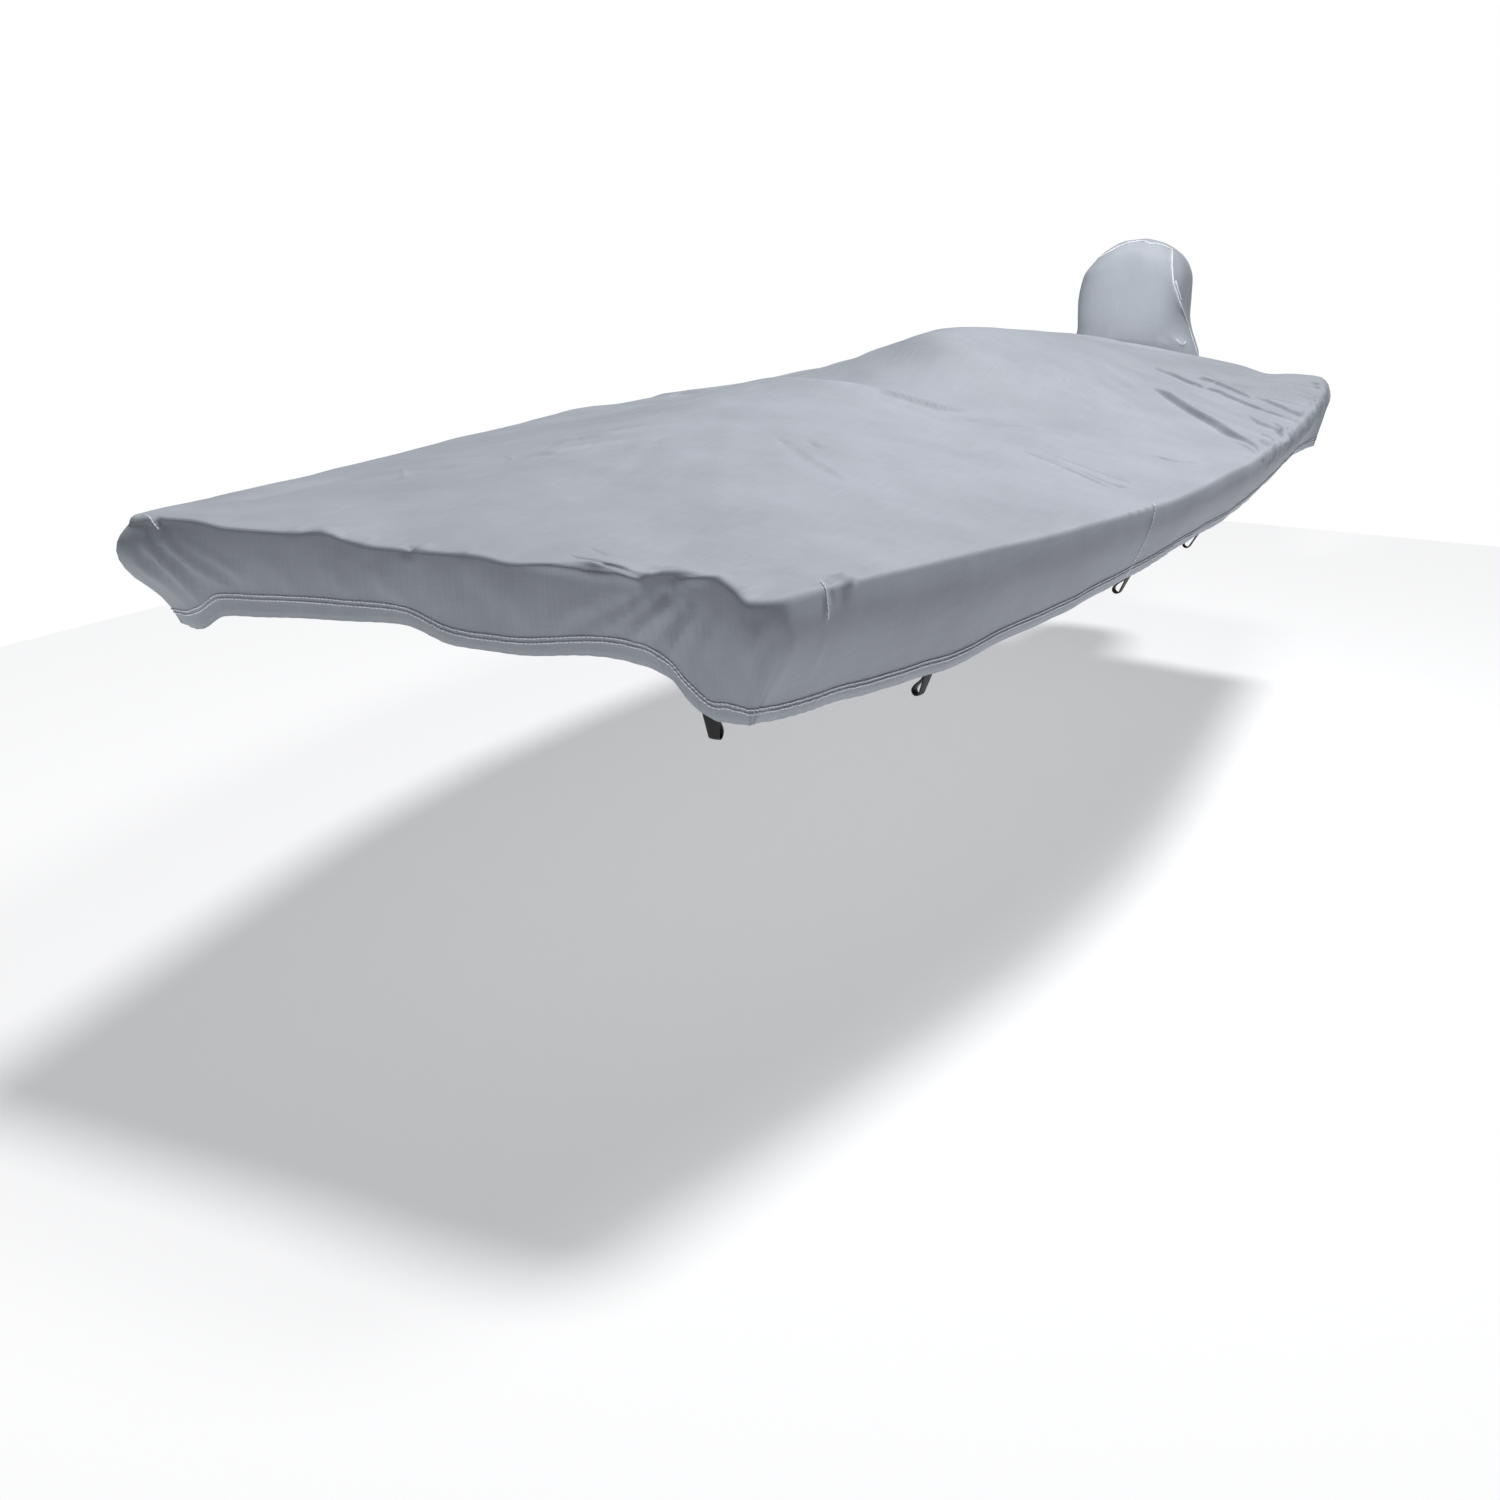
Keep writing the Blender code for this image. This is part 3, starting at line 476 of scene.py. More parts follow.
def skirt_rows():
    """Points of every row, and the length of cloth from the rim's inner line down to each."""
    hem_z, inset, belly = hem_values(edge, outward)
    top = deck_height(*edge.T)
    inner = edge - outward * roll[:, None]
    shift = deck_height(*inner.T) - top
    outs, heights = [], []
    for k in range(ROLL_ROWS):
        turn = math.pi / 2 * k / ROLL_ROWS
        outs.append(-roll * (1 - math.sin(turn)))
        heights.append(top - roll * (1 - math.cos(turn)) + shift * (1 - k / ROLL_ROWS))
    start, band_top = top - roll, hem_z + BAND_HEIGHTS[0]
    levels = [start + (band_top - start) * (k / SKIRT_ROWS) ** ROW_CLOSING for k in range(SKIRT_ROWS)]
    for z in levels + [hem_z + height for height in BAND_HEIGHTS]:
        share = np.clip((start - z) / (start - hem_z), 0.0, 1.0)
        full = np.sin(math.pi * np.minimum(share**BELLY_HIGH, 1.0)) ** BELLY_SOFT
        outs.append(belly * full - inset * share**INSET_LOW)
        heights.append(z)
    out, z = np.array(outs), np.array(heights)
    flat = edge[None] + outward[None] * out[..., None]
    rows = np.concatenate([flat, z[..., None]], axis=2)
    return rows, length_along(rows)


rows, cloth_below = skirt_rows()
print("skirt:", rows.shape[0], "rows, cloth from rim to hem",
      [round(float(v), 3) for v in (cloth_below[-1].min(), cloth_below[-1].max())], "m")

# %% [markdown]
# ## Creases
#
# What makes cloth look like cloth is that no crease is like the next. A simulation would give
# creases of its own, so these are placed one by one: each is a line of a few points on the cloth,
# with a half width, a height and a kind. A `ridge` is a soft rounded line (a trough when its
# height is below zero). A `fold` is steep on its right-hand side, seen along its run, and gentle
# on its left, the way cloth lies when it is pulled tight across a slack place. A `step` is an
# overlap: a sharp wall on its right-hand side, and a long slope on its left.

# %% Table of creases
def metres(points):
    return tuple(tuple(value / 1000 for value in point) for point in points)


# Seams and darts that are also stitched, as points in mm.
STARBOARD_DART = ((-612, 20, 1), (-586, 8, 1), (-568, 0, -4), (-553, -2, -14))
PORT_DART = ((662, 168, -7), (672, 151, -14), (678, 146, -28), (684, 148, -57))
MIDSHIP_SEAM = ((909, 1430, -20), (911, 1412, -54), (905, 1403, -90), (892, 1402, -130),
                (876, 1402, -176))

# Kind, half width and height in mm, share of the run over which it rises and dies out, then its
# points in mm: x and y on the deck, with z where it hangs on a skirt.
CREASE_TABLE = (
    # starboard bow corner: a sewn dart and diagonal ridges down to the hem
    ("ridge", 5, 3.5, .05, .1, *STARBOARD_DART),
    ("ridge", 5, -3, .1, .2, (-602, 22, 2), (-576, 10, 2), (-556, 2, -2), (-540, -2, -10)),
    ("ridge", 34, 5, .45, .3, (-642, 14, -14), (-652, 14, -38), (-656, 14, -72), (-646, 14, -115),
     (-634, 16, -155)),
    ("ridge", 12, 10, .2, .1, (-640, 10, -45), (-590, -10, -82), (-548, 6, -134), (-522, 27, -165)),
    ("ridge", 9, -9, .2, .15, (-615, 0, -40), (-562, -10, -84), (-526, 8, -132), (-506, 24, -158)),
    ("ridge", 11, 10, .15, .1, (-598, -1, -30), (-536, -8, -78), (-502, 10, -125), (-486, 22, -150)),
    ("ridge", 9, -9, .2, .2, (-578, -1, -28), (-510, -6, -76), (-462, 8, -118)),
    ("ridge", 11, 9, .15, .3, (-560, -1, -22), (-486, -2, -66), (-396, 12, -112)),
    ("ridge", 10, -5, .2, .3, (-540, -1, -26), (-454, -1, -66), (-372, 10, -104)),
    ("ridge", 11, 5, .2, .3, (-523, -3, -26), (-429, 0, -62), (-345, 8, -94)),
    # soft ridges hanging from the bow edge
    ("ridge", 20, 4, .3, .3, (-214, 0, -28), (-176, 1, -58), (-133, 10, -97)),
    ("ridge", 18, 4, .3, .3, (-102, 0, -25), (-66, 2, -63), (-23, 10, -101)),
    ("ridge", 16, 3, .3, .3, (-330, -1, -30), (-290, 1, -70), (-262, 10, -120)),
    ("ridge", 22, -3.5, .3, .3, (70, 0, -30), (120, 1, -70), (150, 10, -130)),
    ("ridge", 18, 3, .3, .3, (170, 0, -30), (200, 1, -70), (215, 10, -120)),
    # small tucks across the bow edge
    ("ridge", 9, 3, .3, .3, (-270, 50), (-262, 12), (-250, -1, -30)),
    ("ridge", 10, 3.5, .3, .3, (-212, 52), (-202, 20), (-196, -1, -30)),
    ("ridge", 9, -3, .3, .3, (-165, 46), (-158, 9), (-150, -1, -26)),
    ("ridge", 9, 3, .3, .3, (-118, 52), (-111, 10), (-106, -1, -28)),
    ("fold", 8, 6, .2, .2, (12, 40), (-4, 24), (-12, 6, -6), (-20, -1, -22)),
    ("ridge", 6, -5, .2, .2, (-29, 24, 6), (-22, 6), (-12, 0, -16)),
    ("ridge", 11, 3, .3, .3, (82, 50), (90, 14), (94, -1, -30)),
    # shallow troughs and slack lines on the foredeck
    ("ridge", 26, -5, .2, .3, (-631, 200), (-617, 280), (-595, 430), (-579, 566), (-528, 707),
     (-496, 796)),
    ("ridge", 20, -3.5, .3, .3, (-480, 435), (-434, 534), (-392, 643), (-333, 698)),
    ("ridge", 6, 1.6, .3, .3, (-526, 706), (-458, 612), (-389, 517)),
    ("fold", 20, 4, .25, .3, (-496, 652), (-388, 661), (-320, 669), (-238, 742), (-153, 783),
     (-122, 862), (-67, 912)),
    ("ridge", 16, 3, .3, .3, (-255, 851), (-248, 945), (-174, 1005), (-131, 1031)),
    ("ridge", 6, 1.4, .3, .3, (-328, 796), (-285, 744), (-243, 691)),
    ("ridge", 20, -3, .3, .3, (60, 584), (25, 723), (-22, 868), (-93, 1076)),
    # two overlapping lips of cloth along the bow edge, beside the port corner
    ("ridge", 7, 9, .4, .06, (190, 1, 1), (256, 0, 5), (312, -1, 5), (345, -2, 2), (380, -2, 5),
     (412, -2, 2), (432, -2, -1)),
    ("ridge", 4, -4.5, .3, .08, (239, 78), (297, 40), (330, 18), (350, 5, 21), (379, 1, 18),
     (406, -1, 11), (430, -1, 3)),
    ("ridge", 5, -3, .3, .2, (242, 144), (291, 114), (318, 86)),
    ("ridge", 4, 5, .05, .3, (564, 12, 17), (534, 3, 14), (510, 0, 10), (492, -1, 4), (477, -2, -4),
     (462, -2, -14)),
    ("ridge", 16, 5, .3, .3, (379, 90), (430, 55), (481, 25), (540, 20)),
    ("ridge", 12, -4, .3, .3, (420, 110), (500, 95), (560, 110), (620, 150)),
    # ridges and valleys that fan out under them, down the bow skirt
    ("ridge", 10, -6, .15, .3, (440, -3, -21), (385, 3, -53), (330, 9, -80), (262, 13, -100)),
    ("ridge", 9, 6, .15, .3, (462, -3, -21), (412, 0, -50), (360, 8, -78), (300, 13, -102)),
    ("ridge", 9, -6.5, .1, .3, (479, -2, -8), (461, -4, -26), (419, 2, -57), (370, 13, -96)),
    ("ridge", 9, 6.5, .15, .3, (490, -3, -20), (452, 0, -52), (412, 11, -90), (396, 14, -112)),
    ("ridge", 8, -7, .15, .25, (508, -3, -28), (488, 0, -58), (457, 10, -90), (440, 16, -116)),
    ("ridge", 9, 6, .15, .25, (524, -3, -34), (506, 0, -66), (478, 12, -100), (466, 16, -122)),
    ("ridge", 9, -4, .15, .25, (548, -1, -34), (530, 0, -68), (508, 10, -104), (500, 14, -128)),
    ("ridge", 12, 3, .15, .25, (572, -1, -34), (552, -1, -70), (536, 8, -110)),
    ("ridge", 18, 4, .3, .3, (360, 1, -40), (300, 4, -70), (240, 10, -110)),
    # port bow corner: the stitched dart, the lump beside it, and what hangs from them
    ("ridge", 5, 3.5, .05, .1, *PORT_DART),
    ("ridge", 6, -3, .1, .3, (652, 204, -4), (672, 176, -9), (684, 164, -22), (689, 166, -44)),
    ("ridge", 16, 10, .4, .4, (655, 262, -2), (680, 228, -8), (694, 212, -20), (700, 208, -36)),
    ("ridge", 5, -3.5, .3, .3, (648, 262, 2), (661, 242, -1), (672, 232, -5)),
    ("ridge", 5, -2.5, .2, .3, (606, 4, -30), (610, 3, -38), (613, 3, -46)),
    ("ridge", 12, 4, .3, .3, (628, 6, -46), (616, 5, -88), (601, 13, -123)),
    ("ridge", 12, -3.5, .3, .3, (650, 30, -50), (636, 22, -100), (622, 26, -140)),
    ("ridge", 14, 4, .3, .3, (668, 62, -60), (661, 60, -98), (642, 66, -143), (625, 49, -175)),
    ("ridge", 14, 3.5, .3, .3, (684, 150, -80), (676, 150, -130), (660, 140, -190)),
    # faint lines up the middle and over the fore support
    ("ridge", 14, -2, .3, .3, (156, 1121), (208, 1069), (265, 1028)),
    ("ridge", 14, -2, .3, .3, (207, 1162), (287, 1094), (341, 1086)),
    ("ridge", 14, 2, .3, .3, (330, 1005), (409, 920), (441, 904)),
    ("ridge", 16, -2, .3, .3, (259, 1285), (346, 1197), (434, 1116)),
    ("ridge", 34, 4, .3, .4, (-81, 1409), (20, 1180), (130, 920), (241, 673), (441, 235)),
    # the fore support's crest, which hides the ground behind it, and the valley after that
    ("step", 23, 12, .25, .3, (530, 1622), (463, 1622), (363, 1660), (266, 1676), (204, 1678),
     (126, 1698), (-63, 1723), (-190, 1770)),
    ("ridge", 62, -24, .22, .35, (20, 1820), (120, 1805), (200, 1830), (290, 1900), (350, 2000)),
    ("fold", 15, 14, .15, .45, (70, 1890), (120, 1892), (175, 1915), (230, 1955), (280, 2025),
     (330, 2110)),
    ("fold", 12, 6, .3, .3, (-250, 690), (-186, 781), (-154, 848), (-102, 948), (-40, 1020)),
    ("fold", 12, 6, .3, .3, (-340, 840), (-269, 919), (-205, 980), (-150, 1067), (-90, 1130)),
    ("ridge", 10, -5, .3, .3, (146, 1128), (168, 1112), (192, 1096)),
    ("ridge", 10, -5, .3, .3, (192, 1168), (218, 1150), (250, 1130)),
    ("ridge", 20, -3.5, .3, .3, (196, 1063), (322, 969), (425, 900)),
    ("ridge", 16, 3, .3, .3, (198, 1110), (309, 1010), (400, 950)),
    ("ridge", 12, 4, .3, .3, (313, 1729), (343, 1841), (355, 2059)),
    ("ridge", 12, 4, .3, .3, (371, 1713), (421, 1834), (447, 2076), (534, 2087)),
    ("fold", 8, 4.5, .3, .2, (463, 1655), (531, 1675), (601, 1655), (688, 1600), (763, 1549),
     (820, 1520)),
    ("fold", 8, 4.5, .3, .15, (524, 1700), (580, 1680), (648, 1640), (720, 1610), (777, 1575),
     (850, 1566)),
    ("fold", 10, 3.5, .3, .2, (538, 1740), (618, 1720), (723, 1680), (840, 1640)),
    ("fold", 8, 5, .2, .3, (765, 2016), (821, 2010), (856, 2038), (886, 2071)),
    ("ridge", 9, 2.5, .3, .3, (677, 2150), (726, 2164), (774, 2216)),
    ("ridge", 12, 2.5, .3, .3, (635, 1453), (734, 1479)),
    ("ridge", 12, 2.5, .3, .3, (643, 1876), (771, 2014), (886, 2068)),
    ("ridge", 12, 2.5, .3, .3, (763, 1644), (905, 1737)),
    # port side seam at midships, with its short ruffle on the rim
    ("ridge", 4, 3, .03, .03, *MIDSHIP_SEAM),
    ("ridge", 5, 3.5, .3, .3, (884, 1418, -12), (904, 1428, -20), (911, 1425, -34)),
    ("ridge", 6, 3, .3, .3, (876, 1385), (898, 1392, -22), (906, 1388, -36)),
    ("ridge", 6, 3, .3, .3, (868, 1340), (892, 1348, -22), (901, 1342, -36)),
    ("ridge", 6, 2.5, .3, .3, (860, 1295), (884, 1300, -22), (894, 1296, -36)),
    ("ridge", 7, 2.5, .3, .3, (811, 822, -77), (799, 773, -98), (770, 668, -142)),
    ("ridge", 6, 2, .3, .3, (940, 1620, -90), (924, 1653, -111), (916, 1690, -130)),
    # pulls down from the aft support
    ("fold", 22, 6, .2, .3, (311, 2754), (386, 2624), (445, 2544), (560, 2420)),
    ("fold", 24, 6, .2, .3, (249, 3129), (377, 2862), (462, 2740), (509, 2725), (640, 2560)),
    ("fold", 22, 5, .2, .3, (224, 3360), (372, 3104), (489, 3038), (600, 2900)),
    ("ridge", 22, 5, .3, .3, (170, 2776), (203, 2476), (205, 2329)),
    ("ridge", 26, -6, .3, .3, (260, 2700), (320, 2500), (350, 2330)),
    # the great overlap across the port quarter, its curl at the rim and the lip under it
    ("step", 30, 22, .2, .3, (490, 3074), (526, 3040), (588, 2977), (657, 2896), (694, 2860),
     (729, 2831), (772, 2780), (822, 2690), (857, 2651), (893, 2616), (932, 2535)),
    ("fold", 7, 8, .35, .1, (857, 2650), (890, 2610), (925, 2545), (950, 2450), (962, 2405, -18),
     (968, 2375, -38), (967, 2368, -60)),
    ("fold", 7, 5, .3, .15, (836, 2617), (905, 2514), (942, 2431), (964, 2345, -20), (968, 2325, -40)),
    # long lines that fan from the foot of the hood to the port quarter
    ("fold", 10, 10, .08, .25, (400, 3545), (429, 3541), (469, 3542), (523, 3507), (573, 3487),
     (613, 3472)),
    ("fold", 9, 9, .06, .25, (592, 3476), (642, 3463), (675, 3430), (717, 3399), (759, 3363),
     (804, 3331), (840, 3305)),
    ("fold", 8, 7, .25, .06, (800, 3331), (853, 3294), (877, 3278), (906, 3277, -14), (926, 3258, -21),
     (936, 3240, -40)),
    ("fold", 9, 14, .15, .3, (530, 3580), (568, 3584), (602, 3582), (647, 3560), (682, 3560),
     (719, 3557), (755, 3555)),
    ("fold", 11, 13, .22, .06, (690, 3630), (712, 3640), (743, 3660), (794, 3630), (837, 3590),
     (884, 3495), (906, 3445, -18), (912, 3425, -40)),
    ("fold", 9, 11, .35, .08, (747, 3271), (787, 3222), (829, 3140), (865, 3092), (915, 2970),
     (944, 2872, -19), (957, 2820, -26), (957, 2812, -48)),
    ("fold", 8, 5, .3, .1, (830, 3220), (876, 3165), (911, 3080), (946, 2940, -22), (952, 2920, -45)),
    ("fold", 8, 7, .3, .1, (860, 2870), (901, 2814), (920, 2795), (951, 2692, -19), (960, 2675, -40)),
    ("fold", 9, 6, .3, .2, (864, 3860), (882, 3773, -8), (902, 3696, -20), (904, 3670, -50)),
    ("fold", 9, 6, .3, .2, (868, 3940), (882, 3876, -7), (891, 3850, -22), (892, 3840, -55)),
    ("fold", 12, 4, .2, .3, (196, 3643), (228, 3839), (268, 4072), (306, 4279), (356, 4391)),
    ("fold", 11, 4, .2, .3, (418, 3777), (490, 3817), (532, 3930), (617, 3927)),
    ("fold", 11, 4, .2, .3, (270, 4275), (363, 4245), (450, 4291), (548, 4349)),
    ("fold", 11, 5, .3, .15, (640, 3660), (695, 3650), (742, 3738), (807, 3736), (859, 3715),
     (880, 3690, -10)),
    ("fold", 12, 5, .2, .1, (560, 3880), (660, 3850), (760, 3880), (830, 3880), (868, 3860, -12)),
    ("fold", 12, 5, .2, .1, (560, 4080), (660, 4050), (770, 4050), (830, 4040), (862, 4010, -8)),
    ("fold", 13, 5, .2, .1, (560, 4250), (660, 4200), (780, 4200), (850, 4170, -4)),
    # port stern corner, slack below the seam
    ("ridge", 32, 8, .4, .4, (800, 4420, -20), (848, 4370, -30), (862, 4250, -45)),
    # broad soft lines before the overlap
    ("ridge", 20, 4, .3, .3, (338, 3252), (437, 3160), (497, 3066)),
    ("ridge", 18, -3, .3, .3, (350, 3130), (440, 3050), (520, 2960)),
    ("ridge", 20, 3.5, .3, .3, (340, 2988), (432, 2917), (514, 2856), (600, 2800)),
    ("ridge", 20, 3, .3, .3, (392, 2727), (477, 2708), (561, 2670), (660, 2600)),
    ("ridge", 20, 3, .3, .3, (424, 2598), (508, 2540), (585, 2519), (680, 2450)),
    ("ridge", 12, 3, .3, .2, (740, 1619), (792, 1590), (841, 1545)),
)
CREASES = [(*row[:5], metres(row[5:])) for row in CREASE_TABLE]
lengths = [sum(math.dist(a[:2], b[:2]) for a, b in zip(row[5], row[5][1:])) for row in CREASES]
print(len(CREASES), "creases,", round(sum(lengths), 1), "m of them")

# %% [markdown]
# ## A mesh that is fine only where it has to be
#
# An even grid fine enough for the smallest crease would need millions of faces. So the deck starts
# as squares of 37.5 mm, and a square is split in four, again and again, while a crease nearby is
# too narrow for it. The centres of all squares become points, and a Delaunay triangulation joins
# them to each other and to the rim.

# %% Lines of the creases, laid on the smooth cloth
CREASE_STEP = 0.006      # distance between samples of a crease
CURVE_STEPS = 16         # steps from one given point to the next, before they are made even


def smooth_line(points, step):
    """A Catmull-Rom curve through the points, sampled evenly."""
    points = np.array(points)
    padded = np.concatenate([2 * points[:1] - points[1:2], points, 2 * points[-1:] - points[-2:-1]])
    fine = []
    for k in range(len(points) - 1):
        a, b, c, d = padded[k:k + 4]
        t = np.linspace(0, 1, CURVE_STEPS, endpoint=False)[:, None]
        fine.append(0.5 * (2 * b + (c - a) * t + (2 * a - 5 * b + 4 * c - d) * t**2
                           + (3 * b - a - 3 * c + d) * t**3))
    fine = np.concatenate(fine + [points[-1:]])
    place = length_along(fine)
    even = np.linspace(0, place[-1], max(3, int(place[-1] / step) + 1))
    return np.stack([np.interp(even, place, fine[:, k]) for k in range(fine.shape[1])], axis=1)


def on_deck(point):
    return point if len(point) == 3 else (*point, float(deck_height(*np.array(point))))


def crease_lines(table):
    return [(kind, width / 1000, height / 1000, fade_in, fade_out,
             smooth_line([on_deck(p) for p in points], CREASE_STEP))
            for kind, width, height, fade_in, fade_out, points in table]


print("samples in all:", sum(len(row[5]) for row in crease_lines(CREASES)))

# %% [markdown]
# ## Gathers over the rim
#
# Where the tie-downs pull hardest, the cloth crosses the rim in short uneven pleats. There are
# dozens of them, and none stands out, so they are not placed by hand. A seeded random draw gives
# each one its place, lean, height and width within a range, and gives the same ones on every run.

# %% Gathers, where the tie-downs pull the cloth over the rim
GATHER_SEED = 11
# First y, last y, spacing, greatest height and least half width in mm: gathers down the sides.
PORT_GATHERS = ((2.44, 4.32, 0.105, 10.5, 10.5), (1.50, 2.44, 0.210, 2.0, 9.0),
                (0.30, 1.30, 0.260, 2.0, 9.0))
STARBOARD_GATHERS = ((2.80, 4.30, 0.080, 3.0, 11.0), (0.30, 2.60, 0.300, 1.2, 12.0))
STEEP_GATHER = 5.0       # taller gathers than this are steep on one side
# How far a gather leans aft on the deck, reaches in over it, and hangs down the skirt.
GATHER_LEAN, GATHER_REACH, GATHER_DROP = (0.015, 0.095), (0.015, 0.075), (0.05, 0.13)
# Ranges of its height, half width and spacing, as shares of what its row says.
GATHER_SHARE, GATHER_WIDTH, GATHER_SPACE = (0.25, 1.0), (1.0, 1.6), (0.55, 1.45)
GATHER_SIGN = (1, 1, -0.8)       # two of three are ridges, and the third is a trough
GATHER_FADES = (0.30, 0.45)
GATHER_INSIDE, GATHER_DIP = 0.014, 0.004     # a point before the rim, and how far below it that lies
GATHER_TURN, GATHER_UNDER = 0.030, 0.010     # a point down the skirt, and how far in the end lies


def gathers(seed):
    """Short uneven pleats that cross the rim of both sides, as rows of a crease table."""
    pick = random.Random(seed)
    made = []
    for side, stretches in ((1, PORT_GATHERS), (-1, STARBOARD_GATHERS)):
        for first, last, spacing, tallest, narrowest in stretches:
            y = first
            while y < last:
                half, rim = float(boat.at("half_width", y)), float(boat.at("rim_z", y))
                lean = pick.uniform(*GATHER_LEAN)
                reach, drop = pick.uniform(*GATHER_REACH), pick.uniform(*GATHER_DROP)
                height = tallest * pick.uniform(*GATHER_SHARE) * pick.choice(GATHER_SIGN)
                line = ((side * (half - reach), y + lean),
                        (side * (half - GATHER_INSIDE), y + 0.2 * lean, rim - GATHER_DIP),
                        (side * half, y, rim - GATHER_TURN),
                        (side * (half - GATHER_UNDER), y - 0.3 * lean, rim - drop))
                kind = "fold" if tallest > STEEP_GATHER else "ridge"
                width = narrowest * pick.uniform(*GATHER_WIDTH)
                made.append((kind, width, height, *GATHER_FADES, line))
                y += spacing * pick.uniform(*GATHER_SPACE)
    return made


# The starboard quarter is pulled like the port one, a little less and not at the same places.
STARBOARD_FROM, STARBOARD_SHIFT, STARBOARD_SHARE = 2.3, 0.07, 0.7
mirrored = [(kind, width, height * STARBOARD_SHARE, fade_in, fade_out,
             tuple((-x, y + STARBOARD_SHIFT) for x, y in reversed(points)))
            for kind, width, height, fade_in, fade_out, points in CREASES
            if min(p[1] for p in points) > STARBOARD_FROM and max(len(p) for p in points) == 2]
all_creases = crease_lines(CREASES + gathers(GATHER_SEED) + mirrored)
print(len(all_creases), "creases with the gathers")

# %% Points of the deck, finer near the creases
COARSE = 0.0375          # side of the largest squares
SQUEEZE = 0.96           # their spacing along the boat, as a share of that
DECK_X, DECK_Y = (-0.99, 0.99), (0.01, 4.46)     # where squares are laid out
LEVELS = 4               # how many times a square may be split
NARROW = 0.75            # a crease narrower than this many sides needs smaller squares
FAINT = 0.0008           # a crease lower than this needs none
FAR_AWAY = (99, 99, 0)   # a place that is near nothing, so that the search is never empty
# Half widths over which a crease needs a fine mesh, and the side of a square there, by kind.
REACH = {"ridge": 1.0, "fold": 0.85, "step": 0.50}
FINENESS = {"ridge": 0.78, "fold": 0.53, "step": 0.16}


def search_tree(places):
    """A tree that finds the nearest of these places."""
    tree = KDTree(len(places))
    for index, place in enumerate(places):
        tree.insert(place, index)
    tree.balance()
    return tree


def deck_points():
    x, y = np.meshgrid(np.arange(*DECK_X, COARSE), np.arange(*DECK_Y, COARSE * SQUEEZE))
    cells = np.stack([x.ravel(), y.ravel()], axis=1)
    size, done = COARSE, []
    for level in range(LEVELS + 1):
        places, reach = [FAR_AWAY], [0.0]
        for kind, width, height, *_, line in all_creases:
            if width * FINENESS[kind] < size * NARROW and abs(height) > FAINT:
                places += [(point[0], point[1], 0) for point in line]
                reach += [width * REACH[kind]] * len(line)
        near = search_tree(places)
        hits = [near.find((px, py, 0)) for px, py in cells]
        split = np.array([hit[2] < reach[hit[1]] + size * 0.5 for hit in hits], dtype=bool)
        if level == LEVELS:
            split[:] = False
        done.append(cells[~split])
        quarter = size / 4
        cells = np.concatenate([cells[split] + np.array(corner) * quarter
                                for corner in ((-1, -1), (1, -1), (1, 1), (-1, 1))])
        size /= 2
    return done


levels = deck_points()
print("deck points by level:", [len(cells) for cells in levels])

# %% Join the points to the rim and add the skirt
RIM_CLEAR = 0.6          # least distance of a deck point from the rim, in steps of the rim
RIM_STEP = 0.006         # a shorter step counts as this
SAME_PLACE = 1e-7        # points nearer than this are one


def inside_ring(points, ring):
    """Which points lie inside a closed ring: a ray from each crosses it an odd number of times."""
    crossings = np.zeros(len(points), dtype=int)
    for (x_from, y_from), (x_to, y_to) in zip(ring, np.roll(ring, -1, axis=0)):
        if y_from != y_to:
            level = (y_from > points[:, 1]) != (y_to > points[:, 1])
            x_there = x_from + (points[:, 1] - y_from) / (y_to - y_from) * (x_to - x_from)
            crossings += level & (points[:, 0] < x_there)
    return crossings % 2 == 1


def cover_surface():
    """Vertices, faces and flat places of the open sheet; its first ones are the rows, in order."""
    inner = rows[0, :, :2]
    step = np.linalg.norm(np.roll(inner, -1, axis=0) - inner, axis=1)
    ring = search_tree([(x, y, 0) for x, y in inner])
    points = []
    for cells in levels:
        for px, py in cells[inside_ring(cells, inner)]:
            _, index, distance = ring.find((px, py, 0))
            if distance > RIM_CLEAR * max(step[index], RIM_STEP):
                points.append((px, py))
    count = len(inner)
    plan = [Vector(p) for p in inner] + [Vector(p) for p in points]
    ring_face = [list(range(count))]
    _, _, triangles, origins, _, _ = delaunay_2d_cdt(plan, [], ring_face, 1, SAME_PLACE)
    known = {origin: new for new, group in enumerate(origins) for origin in group}
    order = {new: old for old, new in known.items()}
    xy = np.array(plan)
    deck_z = deck_height(xy[count:, 0], xy[count:, 1])
    vertices = np.concatenate([rows.reshape(-1, 3), np.column_stack([xy[count:], deck_z])])
    spread = edge[None] + outward[None] * (cloth_below - roll)[..., None]
    flat = np.concatenate([spread.reshape(-1, 2), xy[count:]])
    lift = (rows.shape[0] - 1) * count
    faces = [[k if k < count else k + lift for k in (order[v] for v in face)] for face in triangles]
    for row in range(rows.shape[0] - 1):
        for k in range(count):
            after = (k + 1) % count
            a, b = row * count + k, row * count + after
            faces.append([a, a + count, b + count, b])
    return vertices, faces, flat


vertices, faces, flat_places = cover_surface()
print(len(vertices), "vertices and", len(faces), "faces in the open sheet")

# %% [markdown]
# ## Slot for the motor's bracket
#
# The bracket that holds the motor reaches out through a slot in the transom skirt. A Boolean
# modifier could cut it, but it would leave long thin faces in the cloth. The faces whose middles
# lie in the slot are left out instead, and the rim's places were set so that its sides fall on them.

# %% Cut the slot for the motor's bracket
SLOT_SPAN = (-0.160, 0.240)      # from side to side
SLOT_TOP = 0.029
SLOT_ROUND = 0.050               # radius of its upper corners


